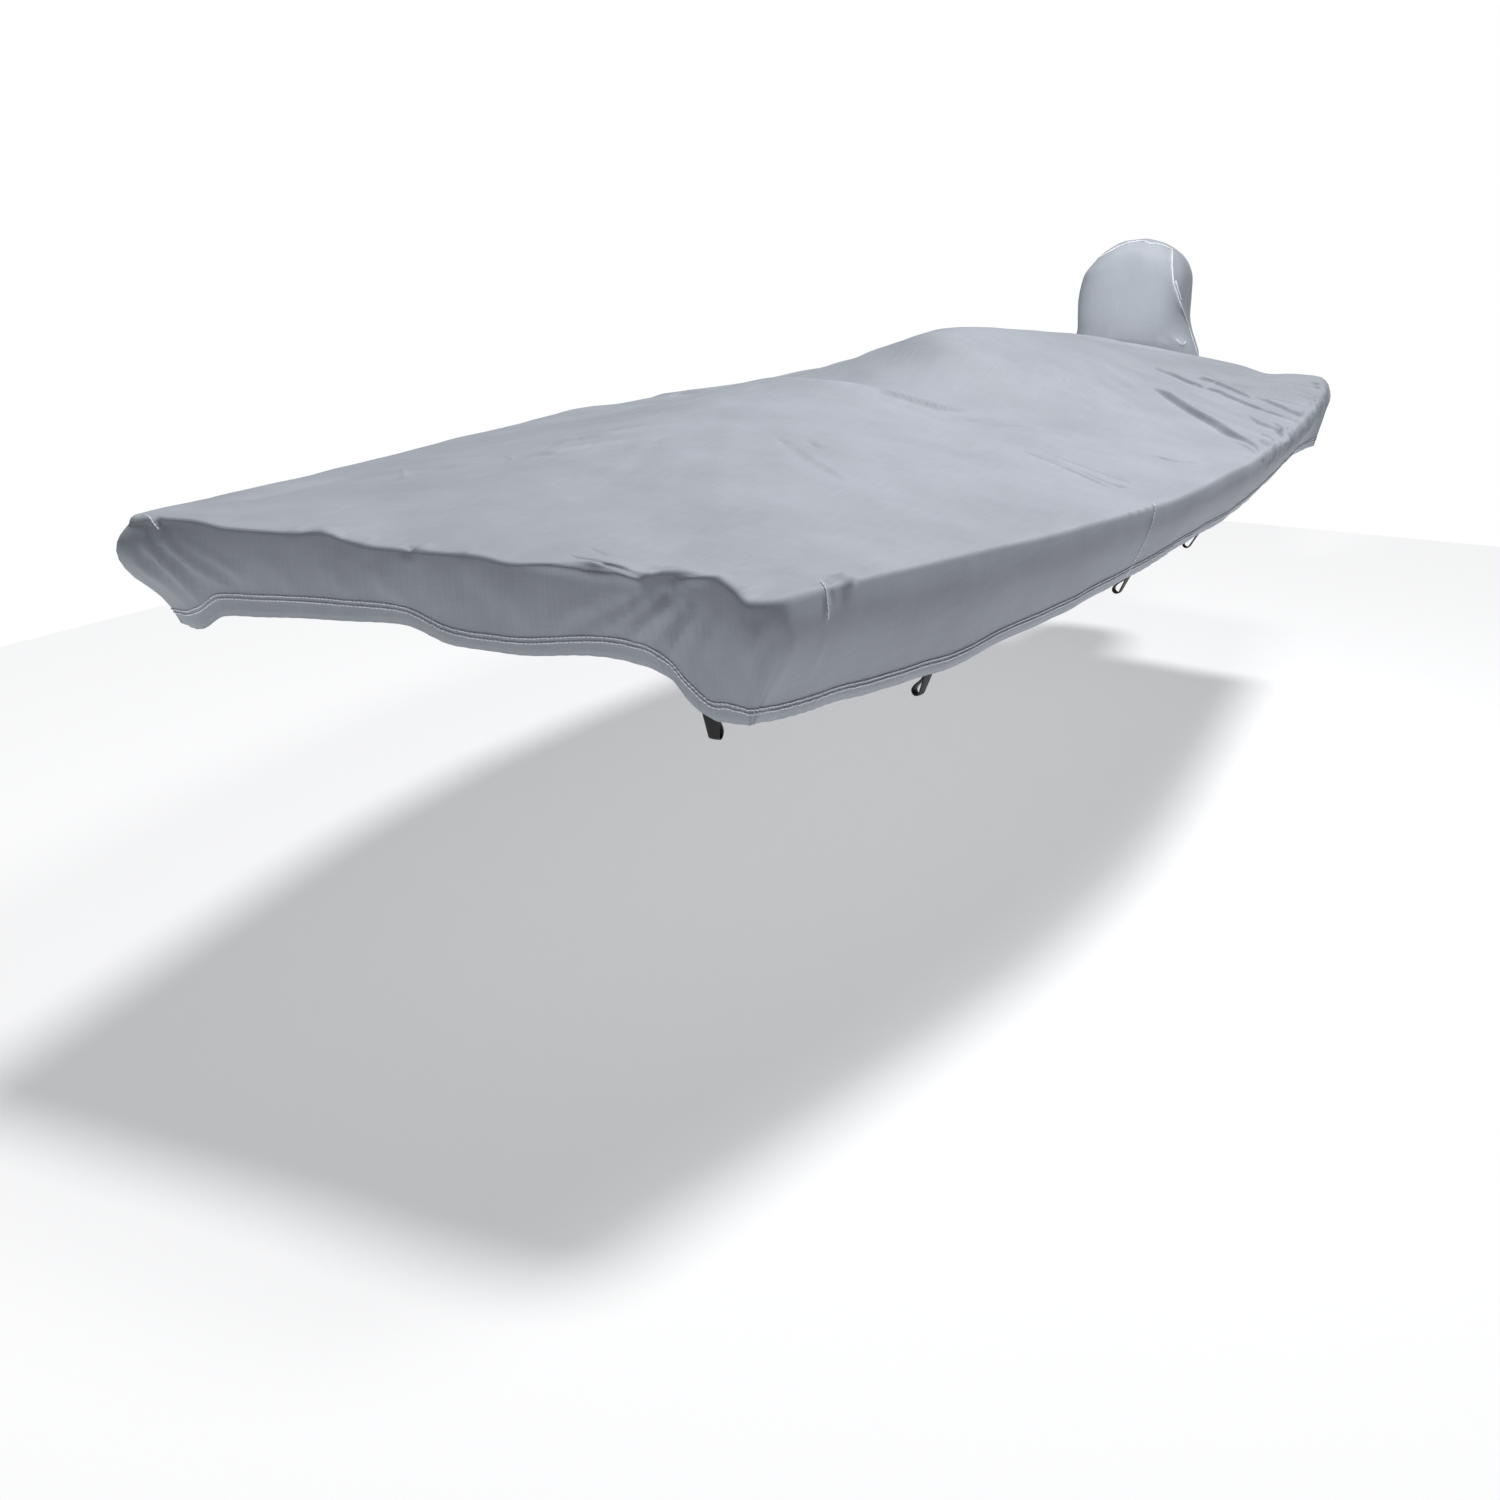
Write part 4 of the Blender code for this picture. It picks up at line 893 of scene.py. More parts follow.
def in_slot(face):
    x, y, z = vertices[face].mean(axis=0)
    if y < LENGTH or not SLOT_SPAN[0] < x < SLOT_SPAN[1] or z > SLOT_TOP:
        return False
    near = SLOT_ROUND - min(x - SLOT_SPAN[0], SLOT_SPAN[1] - x)
    high = SLOT_ROUND - (SLOT_TOP - z)
    return not (near > 0 and high > 0 and math.hypot(near, high) > SLOT_ROUND)


whole = len(faces)
faces = [face for face in faces if not in_slot(face)]
print(whole - len(faces), "faces cut for the slot")

# %% Press creases into a surface
# Each side of a crease falls off as a bell curve, and a shallow dip lies at its foot. By kind:
# spread to the right and left, then depth, distance and spread of the dip, all but the depth in
# half widths. Last comes how far the crease reaches.
PROFILES = {"ridge": (1.0, 1.0, 0.0, 1.0, 1.0, 3.0), "fold": (0.50, 1.90, 0.22, 1.25, 0.55, 4.5),
            "step": (0.22, 3.2, 0.10, 0.62, 0.36, 7.0)}


def crease_profile(kind, across, width):
    """Height of a crease at a signed distance from its line, as a share of its full height."""
    right, left, depth, foot, foot_spread, _ = PROFILES[kind]
    side = np.where(across > 0, right, left) * width
    dip = depth * np.exp(-((across - foot * width) / (foot_spread * width)) ** 2)
    return np.exp(-(across / side) ** 2) - dip


def press_creases(places, normals, creases):
    """How far each place moves along its normal, from all creases together."""
    total = np.zeros(len(places))
    for kind, width, height, fade_in, fade_out, line in creases:
        reach = PROFILES[kind][-1] * width
        low, high = line.min(axis=0) - reach, line.max(axis=0) + reach
        near = np.flatnonzero(np.all((places > low) & (places < high), axis=1))
        if not len(near):
            continue
        start, run = line[:-1], np.diff(line, axis=0)
        length = np.linalg.norm(run, axis=1)
        away = places[near][:, None] - start[None]
        share = np.clip((away * run).sum(axis=2) / length**2, 0, 1)
        gap = away - share[..., None] * run
        best = np.argmin((gap**2).sum(axis=2), axis=1)
        pick = np.arange(len(near))
        gap, share = gap[pick, best], share[pick, best]
        right = np.cross(run[best] / length[best][:, None], normals[near])
        side = np.sign((gap * right).sum(axis=1))
        across = side * np.linalg.norm(gap, axis=1)
        along = (np.concatenate([[0], np.cumsum(length)])[best] + share * length[best]) / length.sum()
        ends = smoothstep(0, fade_in, along) * smoothstep(1, 1 - fade_out, along)
        total[near] += height * ends * crease_profile(kind, across, width)
    return total


def mesh_from(name, vertices, faces, flat):
    """A smooth-shaded mesh with its flat layout, in metres, as its UV map."""
    mesh = bpy.data.meshes.new(name)
    mesh.from_pydata(vertices.tolist(), [], faces)
    corner_vertex = np.zeros(len(mesh.loops), dtype=np.int32)
    mesh.loops.foreach_get("vertex_index", corner_vertex)
    layout = mesh.uv_layers.new(name="cloth layout")
    layout.data.foreach_set("uv", flat[corner_vertex].astype(np.float32).ravel())
    mesh.shade_smooth()
    return mesh


def normals_of(mesh):
    values = np.zeros(len(mesh.vertices) * 3, dtype=np.float32)
    mesh.vertex_normals.foreach_get("vector", values)
    return values.reshape(-1, 3).astype(float)


body_mesh = mesh_from("cover_cloth", vertices, faces, flat_places)
body_normals = normals_of(body_mesh)
creased = press_creases(vertices, body_normals, all_creases)
print("creases move the cloth", [round(1000 * float(v), 1) for v in (creased.min(), creased.max())], "mm")

# %% [markdown]
# ## Slack in the cloth
#
# Between its creases the cloth is never quite flat either. A few long waves, each with a
# direction of its own, keep the deck from looking like a panel. The skirts hang in loose flutes
# that grow towards the hem, and the hem itself is puckered by the pull of its stitches.

# %% Waves, flutes and pucker
SLACK_SEED = 5
# Length in m and height in mm. Several waves of unlike directions share each height, so a share is
# a third of it for the deck and half of it for the flutes, in m.
WAVES = ((0.95, 2.2), (0.62, 1.6), (0.43, 1.2), (0.31, 0.9), (0.22, 0.6), (0.16, 0.4))
WAVE_REPEATS, WAVE_SHARE, WAVE_STRETCH = 3, 0.33e-3, (0.8, 1.25)
UPRIGHT_SLACK = 0.35                             # share of them that is left on upright cloth
LEVEL_CLOTH = (0.2, 0.9)                         # upward normals from upright to level cloth
FLUTES = ((0.46, 3.0), (0.29, 2.2), (0.19, 1.5), (0.12, 0.8))
FLUTE_REPEATS, FLUTE_SHARE, FLUTE_STRETCH = 2, 0.5e-3, (0.85, 1.2)
FLUTE_GROWTH = 1.2                               # above 1 keeps the flutes small near the rim
TAUT_FROM, TAUT_SHARE = (1.1, 1.7), 0.35         # the sides aft of this hang tighter
PUCKER_LENGTH, PUCKER_HEIGHT = 0.031, 0.0007
PUCKER_BAND = (0.040, 0.026)                     # from where down the hem is puckered, and fully so
PUCKER_DRIFT = ((2.2, 17), (1.4, 41))            # how it wanders: radians, and times round the rim
STITCH_HEIGHTS = (0.0315, 0.0225)        # of the two rows of stitches, above the hem's edge
STITCH_SINK, STITCH_SINK_WIDTH = 0.0001, 0.0028      # how deep and wide stitches pull the cloth in


def slack(places, normals):
    pick = random.Random(SLACK_SEED)
    total = np.zeros(len(places))
    for length, height in WAVES:
        for _ in range(WAVE_REPEATS):
            angle, start = pick.uniform(0, math.pi), pick.uniform(0, 2 * math.pi)
            stretch = pick.uniform(*WAVE_STRETCH)
            along = places[:, 0] * math.cos(angle) + places[:, 1] * math.sin(angle)
            total += WAVE_SHARE * height * np.sin(2 * math.pi * along / (length * stretch) + start)
    level = smoothstep(*LEVEL_CLOTH, normals[:, 2])
    return total * (UPRIGHT_SLACK + (1 - UPRIGHT_SLACK) * level)


def flutes():
    """Movement of the skirt's rows: flutes, and the pucker and stitch lines of the hem's band."""
    pick = random.Random(SLACK_SEED + 1)
    below = np.clip((cloth_below - roll) / (cloth_below[-1] - roll), 0, 1)
    wave = np.zeros(len(edge))
    girth = rim_place[-1] + np.linalg.norm(edge[0] - edge[-1])
    for length, height in FLUTES:
        for _ in range(FLUTE_REPEATS):
            cycles = round(girth / (length * pick.uniform(*FLUTE_STRETCH)))
            start = pick.uniform(0, 2 * math.pi)
            wave += FLUTE_SHARE * height * np.sin(2 * math.pi * cycles * rim_place / girth + start)
    above = cloth_below[-1] - cloth_below
    band = smoothstep(*PUCKER_BAND, above)
    cycles = round(girth / PUCKER_LENGTH)
    drift = sum(strength * np.sin(2 * math.pi * drifts * rim_place / girth)
                for strength, drifts in PUCKER_DRIFT)
    pucker = PUCKER_HEIGHT * np.sin(2 * math.pi * cycles * rim_place / girth + drift)
    sink = sum(np.exp(-((above - height) / STITCH_SINK_WIDTH) ** 2) for height in STITCH_HEIGHTS)
    taut = 1 - (1 - TAUT_SHARE) * smoothstep(*TAUT_FROM, edge[:, 1])
    return wave * taut * below**FLUTE_GROWTH + pucker * band - STITCH_SINK * sink


move = creased + slack(vertices, body_normals)
move[:rows[..., 0].size] += flutes().ravel()
shaped = vertices + body_normals * move[:, None]
body_mesh.vertices.foreach_set("co", (shaped + SHIFT).astype(np.float32).ravel())
body_mesh.update()
print("slack and flutes added")

# %% The body of the cover as one sheet
CLOTH_THICKNESS = 0.0016


def drop_loose(mesh):
    work = bmesh.new()
    work.from_mesh(mesh)
    bmesh.ops.delete(work, geom=[v for v in work.verts if not v.link_faces], context="VERTS")
    work.to_mesh(mesh)
    work.free()


def thicken(piece, thickness, offset=-1.0):
    """A wall on the inner side of a sheet, where its outer face has to stay, or with 0 on both."""
    wall = piece.modifiers.new("cloth thickness", "SOLIDIFY")
    wall.thickness, wall.offset = thickness, offset


shaped_rows = shaped[:rows[..., 0].size].reshape(rows.shape)
row_normals = body_normals[:rows[..., 0].size].reshape(rows.shape)
drop_loose(body_mesh)
body = add_piece("cover_sheet", body_mesh)
thicken(body, CLOTH_THICKNESS)
print("cover sheet:", len(body_mesh.polygons), "faces")

# %% [markdown]
# ## Hood over the outboard motor
#
# Behind the transom a bag of the same cloth drops over the motor. It is lofted from level
# sections, each a rounded rectangle, like the cowl inside it. Its front edge laps behind the
# transom skirt, and its hem arches over the motor's bracket. The seams that join its top and its
# side panels are narrow ridges with puckers beside them.

# %% Sections of the hood
HOOD_X, HOOD_Y = 0.060, 4.720    # middle of the motor's cowl
HOOD_COLUMNS = ("z", "front_width", "back_width", "front", "back",
                "front_shift", "back_shift", "squareness")
HOOD = (
    (-0.200, 0.206, 0.172, 0.246, 0.204, 0.016, 0.004, 4.0),
    (-0.110, 0.226, 0.184, 0.252, 0.216, 0.030, 0.010, 4.4),
    (-0.020, 0.240, 0.190, 0.266, 0.222, 0.042, 0.012, 5.0),
    (0.060, 0.246, 0.192, 0.270, 0.220, 0.046, 0.012, 5.2),
    (0.105, 0.236, 0.186, 0.268, 0.218, 0.036, 0.006, 5.0),
    (0.150, 0.220, 0.180, 0.246, 0.216, 0.020, 0.000, 4.6),
    (0.200, 0.212, 0.176, 0.234, 0.214, 0.006, -0.006, 4.6),
    (0.270, 0.208, 0.180, 0.222, 0.212, -0.002, -0.008, 4.4),
    (0.340, 0.200, 0.178, 0.213, 0.203, -0.002, -0.004, 3.8),
    (0.405, 0.168, 0.150, 0.188, 0.172, 0.006, 0.006, 3.1),
    (0.450, 0.120, 0.106, 0.148, 0.132, 0.008, 0.002, 2.6),
    (0.473, 0.068, 0.058, 0.088, 0.078, 0.010, 0.000, 2.3),
    (0.480, 0.026, 0.022, 0.034, 0.030, 0.010, 0.000, 2.1),
)
HOOD_LAP_Z, HOOD_BACK_Z = 0.042, -0.200      # lower edge in front, and hem behind the motor
HOOD_ARCH = (-0.97, -0.80)       # sine of the angles between which the hem drops
HOOD_TOP_SHIFT, HOOD_TOP_RISE = 0.010, 0.002
HOOD_WALL = LENGTH + STERN_BULGE + 0.0003    # the front panel lies against the transom skirt
HOOD_ROUND, HOOD_ROWS = 220, 84  # places round a section, and rows
HOOD_ROW_CLOSING = 1.25          # above 1 sets the rows closer together near the dome
HOOD_HALFWAY, HOOD_SAMPLES = 0.25, 4000      # height at which the girth is measured, and how finely
HOOD_CAP = (0.75, 0.5, 0.25)     # rings of the flat top, as shares of its smallest section

hood_sections = Stations(HOOD_COLUMNS, HOOD)


def hood_places(z, angle):
    """Points of the hood at heights and angles; angle 0 is to port and a quarter turn is aft."""
    value = {name: hood_sections.at(name, z) for name in HOOD_COLUMNS[1:]}
    power = 2 / value["squareness"]
    across = np.sign(np.cos(angle)) * np.abs(np.cos(angle))**power
    along = np.sign(np.sin(angle)) * np.abs(np.sin(angle))**power
    aft = (1 + along) / 2
    half_width = value["front_width"] * (1 - aft) + value["back_width"] * aft
    shift = value["front_shift"] * (1 - aft) + value["back_shift"] * aft
    reach = np.where(np.sin(angle) > 0, value["back"], value["front"])
    y = np.maximum(HOOD_Y + reach * along, HOOD_WALL)
    return np.stack([HOOD_X + shift + half_width * across, y, z], axis=-1)


def hood_surface():
    top = HOOD[-1][0]
    # Even steps of angle crowd the points of a rounded rectangle at its corners and leave its
    # flat sides bare, so the angles are spread by arc length on one section.
    fine = np.linspace(0, 2 * math.pi, HOOD_SAMPLES)
    ring = hood_places(np.full(fine.shape, HOOD_HALFWAY), fine)
    run = length_along(ring)
    angle = np.interp(np.linspace(0, run[-1], HOOD_ROUND, endpoint=False), run, fine)
    behind = smoothstep(*HOOD_ARCH, np.sin(angle))
    hem = HOOD_LAP_Z + (HOOD_BACK_Z - HOOD_LAP_Z) * behind
    share = np.linspace(0, 1, HOOD_ROWS + 1)**HOOD_ROW_CLOSING
    z = top + (hem[None] - top) * share[:, None]
    grid = hood_places(z, np.broadcast_to(angle, z.shape))
    pole = np.array([HOOD_X + HOOD_TOP_SHIFT, HOOD_Y, top + HOOD_TOP_RISE])
    cap = [pole + (grid[0] - pole) * [scale, scale, scale * scale] for scale in reversed(HOOD_CAP)]
    return np.concatenate([np.array(cap), grid]), pole, run[-1]


hood_grid, hood_pole, hood_girth = hood_surface()
print("girth of the hood:", round(float(hood_girth), 2), "m")

# %% Creases of the hood
HOOD_CORNER_SEAM = ((180, 4665, 450), (202, 4577, 406), (222, 4541, 339), (237, 4546, 294),
                    (253, 4568, 248), (257, 4640, 200), (260, 4680, 161), (277, 4670, 115),
                    (300, 4620, 68))
HOOD_CREASE_TABLE = (
    # seam down the front port corner, with the cloth drawn in behind it
    ("fold", 6, 4.5, .1, .1, *HOOD_CORNER_SEAM),
    ("ridge", 8, 4, .2, .2, (226, 4548, 335), (235, 4552, 309), (247, 4570, 274)),
    ("ridge", 9, -4, .2, .2, (233, 4549, 334), (245, 4562, 302), (254, 4588, 267)),
    ("ridge", 7, 5, .2, .2, (270, 4484, 130), (280, 4485, 117), (290, 4492, 112), (297, 4520, 123)),
    # small puckers along that seam
    ("ridge", 6, 3.5, .3, .3, (205, 4530, 330), (228, 4548, 320), (246, 4585, 318)),
    ("ridge", 6, 3.5, .3, .3, (212, 4525, 300), (234, 4550, 292), (252, 4600, 290)),
    ("ridge", 6, 3, .3, .3, (214, 4522, 270), (238, 4555, 262), (256, 4610, 262)),
    ("ridge", 6, 3, .3, .3, (170, 4560, 425), (196, 4568, 410), (214, 4600, 402)),
    ("ridge", 7, 3, .3, .3, (235, 4520, 170), (256, 4560, 158), (268, 4620, 156)),
    # seam round the top panel, puckered
    ("ridge", 6, 3.5, .1, .1, (-100, 4610, 420), (-50, 4590, 440), (0, 4610, 462), (65, 4647, 475),
     (109, 4635, 469), (144, 4658, 464), (180, 4665, 450)),
    ("ridge", 8, -3.5, .2, .2, (-20, 4560, 436), (40, 4570, 452), (110, 4580, 452)),
    ("ridge", 7, 3, .3, .3, (20, 4580, 450), (34, 4630, 470), (40, 4690, 479)),
    ("ridge", 7, 3, .3, .3, (74, 4590, 458), (82, 4640, 476), (80, 4700, 480)),
    ("ridge", 7, 3, .3, .3, (120, 4590, 454), (124, 4630, 470), (128, 4690, 472)),
    # soft shade on the front and the hanging folds of the sides and back
    ("ridge", 30, 2, .3, .3, (0, 4520, 360), (10, 4498, 260), (20, 4480, 150)),
    ("ridge", 30, -2, .3, .3, (100, 4520, 360), (110, 4500, 260), (120, 4480, 150)),
    ("ridge", 18, 4, .3, .2, (240, 4820, 380), (244, 4760, 280), (240, 4700, 180), (262, 4660, 90)),
    ("ridge", 16, -5, .3, .2, (240, 4880, 330), (235, 4850, 200), (240, 4800, 80), (250, 4780, -40)),
    ("ridge", 18, 5, .3, .1, (100, 4925, 300), (90, 4935, 150), (110, 4940, 0), (100, 4930, -120)),
    ("ridge", 18, -5, .3, .1, (-20, 4930, 280), (-30, 4935, 120), (-10, 4940, -40)),
    ("ridge", 18, 5, .3, .1, (-120, 4860, 300), (-130, 4840, 150), (-120, 4850, 0), (-130, 4830, -150)),
    ("ridge", 16, 5, .3, .1, (-150, 4640, 320), (-160, 4600, 200), (-180, 4580, 80), (-190, 4560, -60)),
    # gathers at the base, where the hood meets the transom
    ("ridge", 14, 6, .3, .1, (-140, 4540, 170), (-150, 4510, 130), (-166, 4490, 100), (-180, 4470, 70)),
    ("ridge", 9, 4, .3, .2, (-80, 4475, 200), (-90, 4462, 130), (-96, 4461, 70)),
    ("ridge", 8, 4, .3, .2, (180, 4490, 190), (196, 4470, 130), (206, 4461, 70)),
    ("ridge", 8, 3.5, .3, .2, (10, 4480, 180), (6, 4466, 130), (0, 4461, 70)),
)
HOOD_CREASES = [(*row[:5], metres(row[5:])) for row in HOOD_CREASE_TABLE]

HOOD_DOME_Z = 0.46               # above this the hood faces up
HOOD_SLACK_SCALE = (2.2, 2.2, 1.0)               # its waves are shorter than the deck's
HOOD_LAP_TOP = 0.125             # below this the front stays behind the transom skirt

count = hood_grid.shape[1]
hood_vertices = np.concatenate([hood_grid.reshape(-1, 3), hood_pole[None]])
hood_faces = [(r * count + k, (r + 1) * count + k, (r + 1) * count + (k + 1) % count,
               r * count + (k + 1) % count)
              for r in range(hood_grid.shape[0] - 1) for k in range(count)]
hood_faces += [(k, (k + 1) % count, len(hood_vertices) - 1) for k in range(count)]
drop = length_along(hood_grid)
round_place = np.broadcast_to(np.arange(count) / count * hood_girth, drop.shape)
hood_flat = np.concatenate([np.stack([round_place, -drop], axis=-1).reshape(-1, 2), [[0.0, 0.0]]])
hood_mesh = mesh_from("motor_hood_cloth", hood_vertices, hood_faces, hood_flat)
hood_normals = normals_of(hood_mesh)
if (hood_normals[:, 2] * (hood_vertices[:, 2] > HOOD_DOME_Z)).sum() < 0:
    hood_mesh.flip_normals()
    hood_normals = -hood_normals
hood_move = press_creases(hood_vertices, hood_normals, crease_lines(HOOD_CREASES))
hood_move += slack(hood_vertices * HOOD_SLACK_SCALE, hood_normals)
hood_shaped = hood_vertices + hood_normals * hood_move[:, None]
behind_wall = np.maximum(hood_shaped[:, 1], HOOD_WALL)
hood_shaped[:, 1] = np.where(hood_vertices[:, 2] < HOOD_LAP_TOP, behind_wall, hood_shaped[:, 1])
hood_mesh.vertices.foreach_set("co", (hood_shaped + SHIFT).astype(np.float32).ravel())
hood_mesh.update()
hood = add_piece("motor_hood_sheet", hood_mesh)
thicken(hood, CLOTH_THICKNESS)
print("hood:", len(hood_faces), "faces")

# %% [markdown]
# ## Webbing loops
#
# Seven loops of black webbing are sewn inside the hem, three on each side and one beside the port
# bow corner, and the tie-down lines hook into them. Each is one strip, turned up on itself: a flat
# tab of two layers, then a small round bay where a hook draws the webbing to half its width.

# %% Loops
LOOP_PLACES = (("fore", 0.750, 0.530), ("midship", 0.910, 1.420), ("aft", 0.960, 1.980))
BOW_LOOP = ("bow_corner", 0.530, 0.000)  # beside the port corner only
LOOP_WIDTH, LOOP_FOOT_WIDTH = 0.036, 0.018
LOOP_DROP, LOOP_TAB = 0.050, 0.022       # below the hem, and sewn inside it
LOOP_THICK, LOOP_BAY = 0.0018, 0.015     # one layer, and clear width of the bay
LOOP_SPAN = 0.022                        # hem to each side, at least, that sets a loop's direction
LOOP_ACROSS = 8                          # faces across the strip
LOOP_STEPS = (16, 14, 10, 6)             # points down the front, round the bay, up the back, on the tab
LOOP_JOIN = -0.004                       # height at which the back lies against the tab
LOOP_DISH, LOOP_DISHED = 0.0012, (0.3, 0.9)      # how far its edges curl, and where down the loop
LOOP_PRESSED = 0.96                      # share of the thickness that is left after sewing


def hem_axes(x, y):
    """Along, up and inward directions of the hem near a place."""
    hem = rows[-1]
    nearest = int(np.argmin(np.linalg.norm(hem[:, :2] - (x, y), axis=1)))
    reach = np.abs(rim_place - rim_place[nearest]) < LOOP_SPAN
    reach[max(nearest - 1, 0):nearest + 2] = True
    places = np.flatnonzero(reach)
    along = Vector(hem[places[-1]] - hem[places[0]]).normalized()
    up = Vector(rows[-len(BAND_HEIGHTS), nearest] - hem[nearest]).normalized()
    inward = along.cross(up).normalized()
    if inward.dot(Vector((hem[nearest][0], hem[nearest][1] - LENGTH / 2, 0))) > 0:
        inward.negate()
    return inward.cross(up), up, inward


def loop_path():
    """Side view of the strip's middle layer, as (inward, up) points."""
    radius = (LOOP_BAY + LOOP_THICK) / 2
    centre_in, centre_up = LOOP_THICK + LOOP_BAY / 2, -LOOP_DROP + LOOP_THICK + LOOP_BAY / 2
    inner = LOOP_THICK / 2
    front_steps, bay_steps, back_steps, tab_steps = LOOP_STEPS
    down = [(inner, z) for z in np.linspace(LOOP_TAB, centre_up, front_steps)]
    turn = [(centre_in - radius * math.cos(a), centre_up - radius * math.sin(a))
            for a in np.linspace(0, math.pi, bay_steps)[1:]]
    back = [(inner + LOOP_THICK + (2 * radius - LOOP_THICK) * float(smoothstep(1, 0, t)),
             centre_up + t * (LOOP_JOIN - centre_up)) for t in np.linspace(0, 1, back_steps)[1:]]
    tab = [(inner + LOOP_THICK, z) for z in np.linspace(0, LOOP_TAB, tab_steps)]
    return down + turn + back + tab


def make_loop(name, x, y):
    along, up, inward = hem_axes(x, y)
    low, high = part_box(name)
    path = loop_path()
    points, layout, run = [], [], 0.0
    for k, (across, height) in enumerate(path):
        run += math.dist(path[k], path[k - 1]) if k else 0.0
        share = (LOOP_TAB - height) / (LOOP_TAB + LOOP_DROP)
        width = LOOP_WIDTH + (LOOP_FOOT_WIDTH - LOOP_WIDTH) * max(0.0, share)
        for j in range(LOOP_ACROSS + 1):
            t = j / LOOP_ACROSS - 0.5
            dish = LOOP_DISH * smoothstep(*LOOP_DISHED, share) * (4 * t * t)
            points.append(inward * (across + float(dish)) + up * height + along * (t * width))
            layout.append((t * LOOP_WIDTH, run))
    centre = (Vector(np.min(points, axis=0)) + Vector(np.max(points, axis=0))) / 2
    shift = (Vector(low) + Vector(high)) / 2 - centre
    step = LOOP_ACROSS + 1
    strip = [(k * step + j, k * step + j + 1, (k + 1) * step + j + 1, (k + 1) * step + j)
             for k in range(len(path) - 1) for j in range(LOOP_ACROSS)]
    mesh = mesh_from(name + "_webbing", np.array([p + shift for p in points]), strip, np.array(layout))
    if Vector(mesh.polygons[0].normal).dot(inward) > 0:
        mesh.flip_normals()
    piece = add_piece(name + "_strip", mesh)
    thicken(piece, LOOP_THICK * LOOP_PRESSED, 0.0)
    return piece


loops = {}
for side, sign, places in (("port", 1, (BOW_LOOP, *LOOP_PLACES)), ("starboard", -1, LOOP_PLACES)):
    for place, x, y in places:
        node = f"loop_{side}_{place}"
        loops[node] = make_loop(node, sign * x, y)
print(len(loops), "loops")

# %% [markdown]
# ## Stitches with Geometry Nodes
#
# The hem is turned up and held by two rows of white thread, and single rows hold the seams. There
# are thousands of stitches, all alike, which is work for Geometry Nodes: a tree resamples each
# line at the stitch spacing, sets a small spindle on each point along the line, and turns the
# copies into real mesh, because instances would be lost in an export.

# %% Lines that the stitches follow
STITCH_PITCH, STITCH_LENGTH = 0.0086, 0.0094
# Real thread is under 1 mm thick: it is drawn thicker so that stitches still show from 3 m away.
THREAD_RADIUS = 0.0017
STITCH_LIFT = 0.0016             # height of a stitch's middle above the cloth
BOW_BAND = 0.03                  # places of the rim that lie before this belong to the bow edge
# How far the stitches wander from their line, by place along the bow: x, and rise in mm.
STITCH_WANDER = ((-0.60, 6), (-0.50, 14), (-0.40, 13), (-0.20, 9), (0.00, 3), (0.10, -2),
                 (0.30, 3), (0.42, 10), (0.47, 5), (0.50, 9), (0.53, 2), (0.56, 6), (0.60, 1),
                 (0.64, 0))


def hem_line(height):
    """Line round the hem at a height above its edge, just proud of the cloth."""
    above = cloth_below[-1] - cloth_below
    bow = edge[:, 1] < BOW_BAND
    wander = np.where(bow, np.interp(edge[:, 0], *np.array(STITCH_WANDER).T) / 1000, 0.0)
    line = []
    for k in range(len(edge)):
        column, want = above[::-1, k], height + wander[k]
        place = [np.interp(want, column, shaped_rows[::-1, k, axis]) for axis in range(3)]
        normal = [np.interp(want, column, row_normals[::-1, k, axis]) for axis in range(3)]
        line.append(np.array(place) + np.array(normal) / np.linalg.norm(normal) * STITCH_LIFT)
    return np.array(line)


def outside_slot(line):
    """The line, cut where the bracket slot interrupts the hem."""
    in_gap = (edge[:, 1] > LENGTH) & (edge[:, 0] > SLOT_SPAN[0]) & (edge[:, 0] < SLOT_SPAN[1])
    gap = np.flatnonzero(in_gap)
    return np.concatenate([line[gap[-1] + 1:], line[:gap[0]]])


stitch_lines = [outside_slot(hem_line(height)) for height in STITCH_HEIGHTS]
print("stitched hem:", round(sum(float(length_along(line)[-1]) for line in stitch_lines), 1), "m")

# %% Lines on the seams and darts
# Lines on the cloth that get a single row of stitches, and how far beside the line it runs.
SEAM_ROWS = (PORT_DART, MIDSHIP_SEAM, STARBOARD_DART)
SEAM_BESIDE = 0.0020
SEAM_STEP = 0.004        # distance between samples of such a line
NEIGHBOURS, NEIGHBOUR_SOFT = 6, 0.0005   # vertices that share in a place, and what evens their shares
# Lines on the hood in mm: its corner seam, the front of the top seam, and two tacked puckers, each
# after the distances in metres of its rows from the line.
HOOD_SEAMS = (
    ((-0.001, 0.003), HOOD_CORNER_SEAM),
    ((-0.001, 0.004), ((-100, 4596, 420), (-50, 4576, 440), (0, 4596, 462), (65, 4633, 473),
                       (109, 4621, 466), (144, 4644, 462), (180, 4660, 450))),
    ((-0.004, 0.000, 0.004), ((230, 4552, 335), (240, 4556, 309), (252, 4576, 274))),
    ((-0.001, 0.003), ((270, 4484, 128), (280, 4485, 115), (290, 4490, 111), (297, 4510, 122))),
)


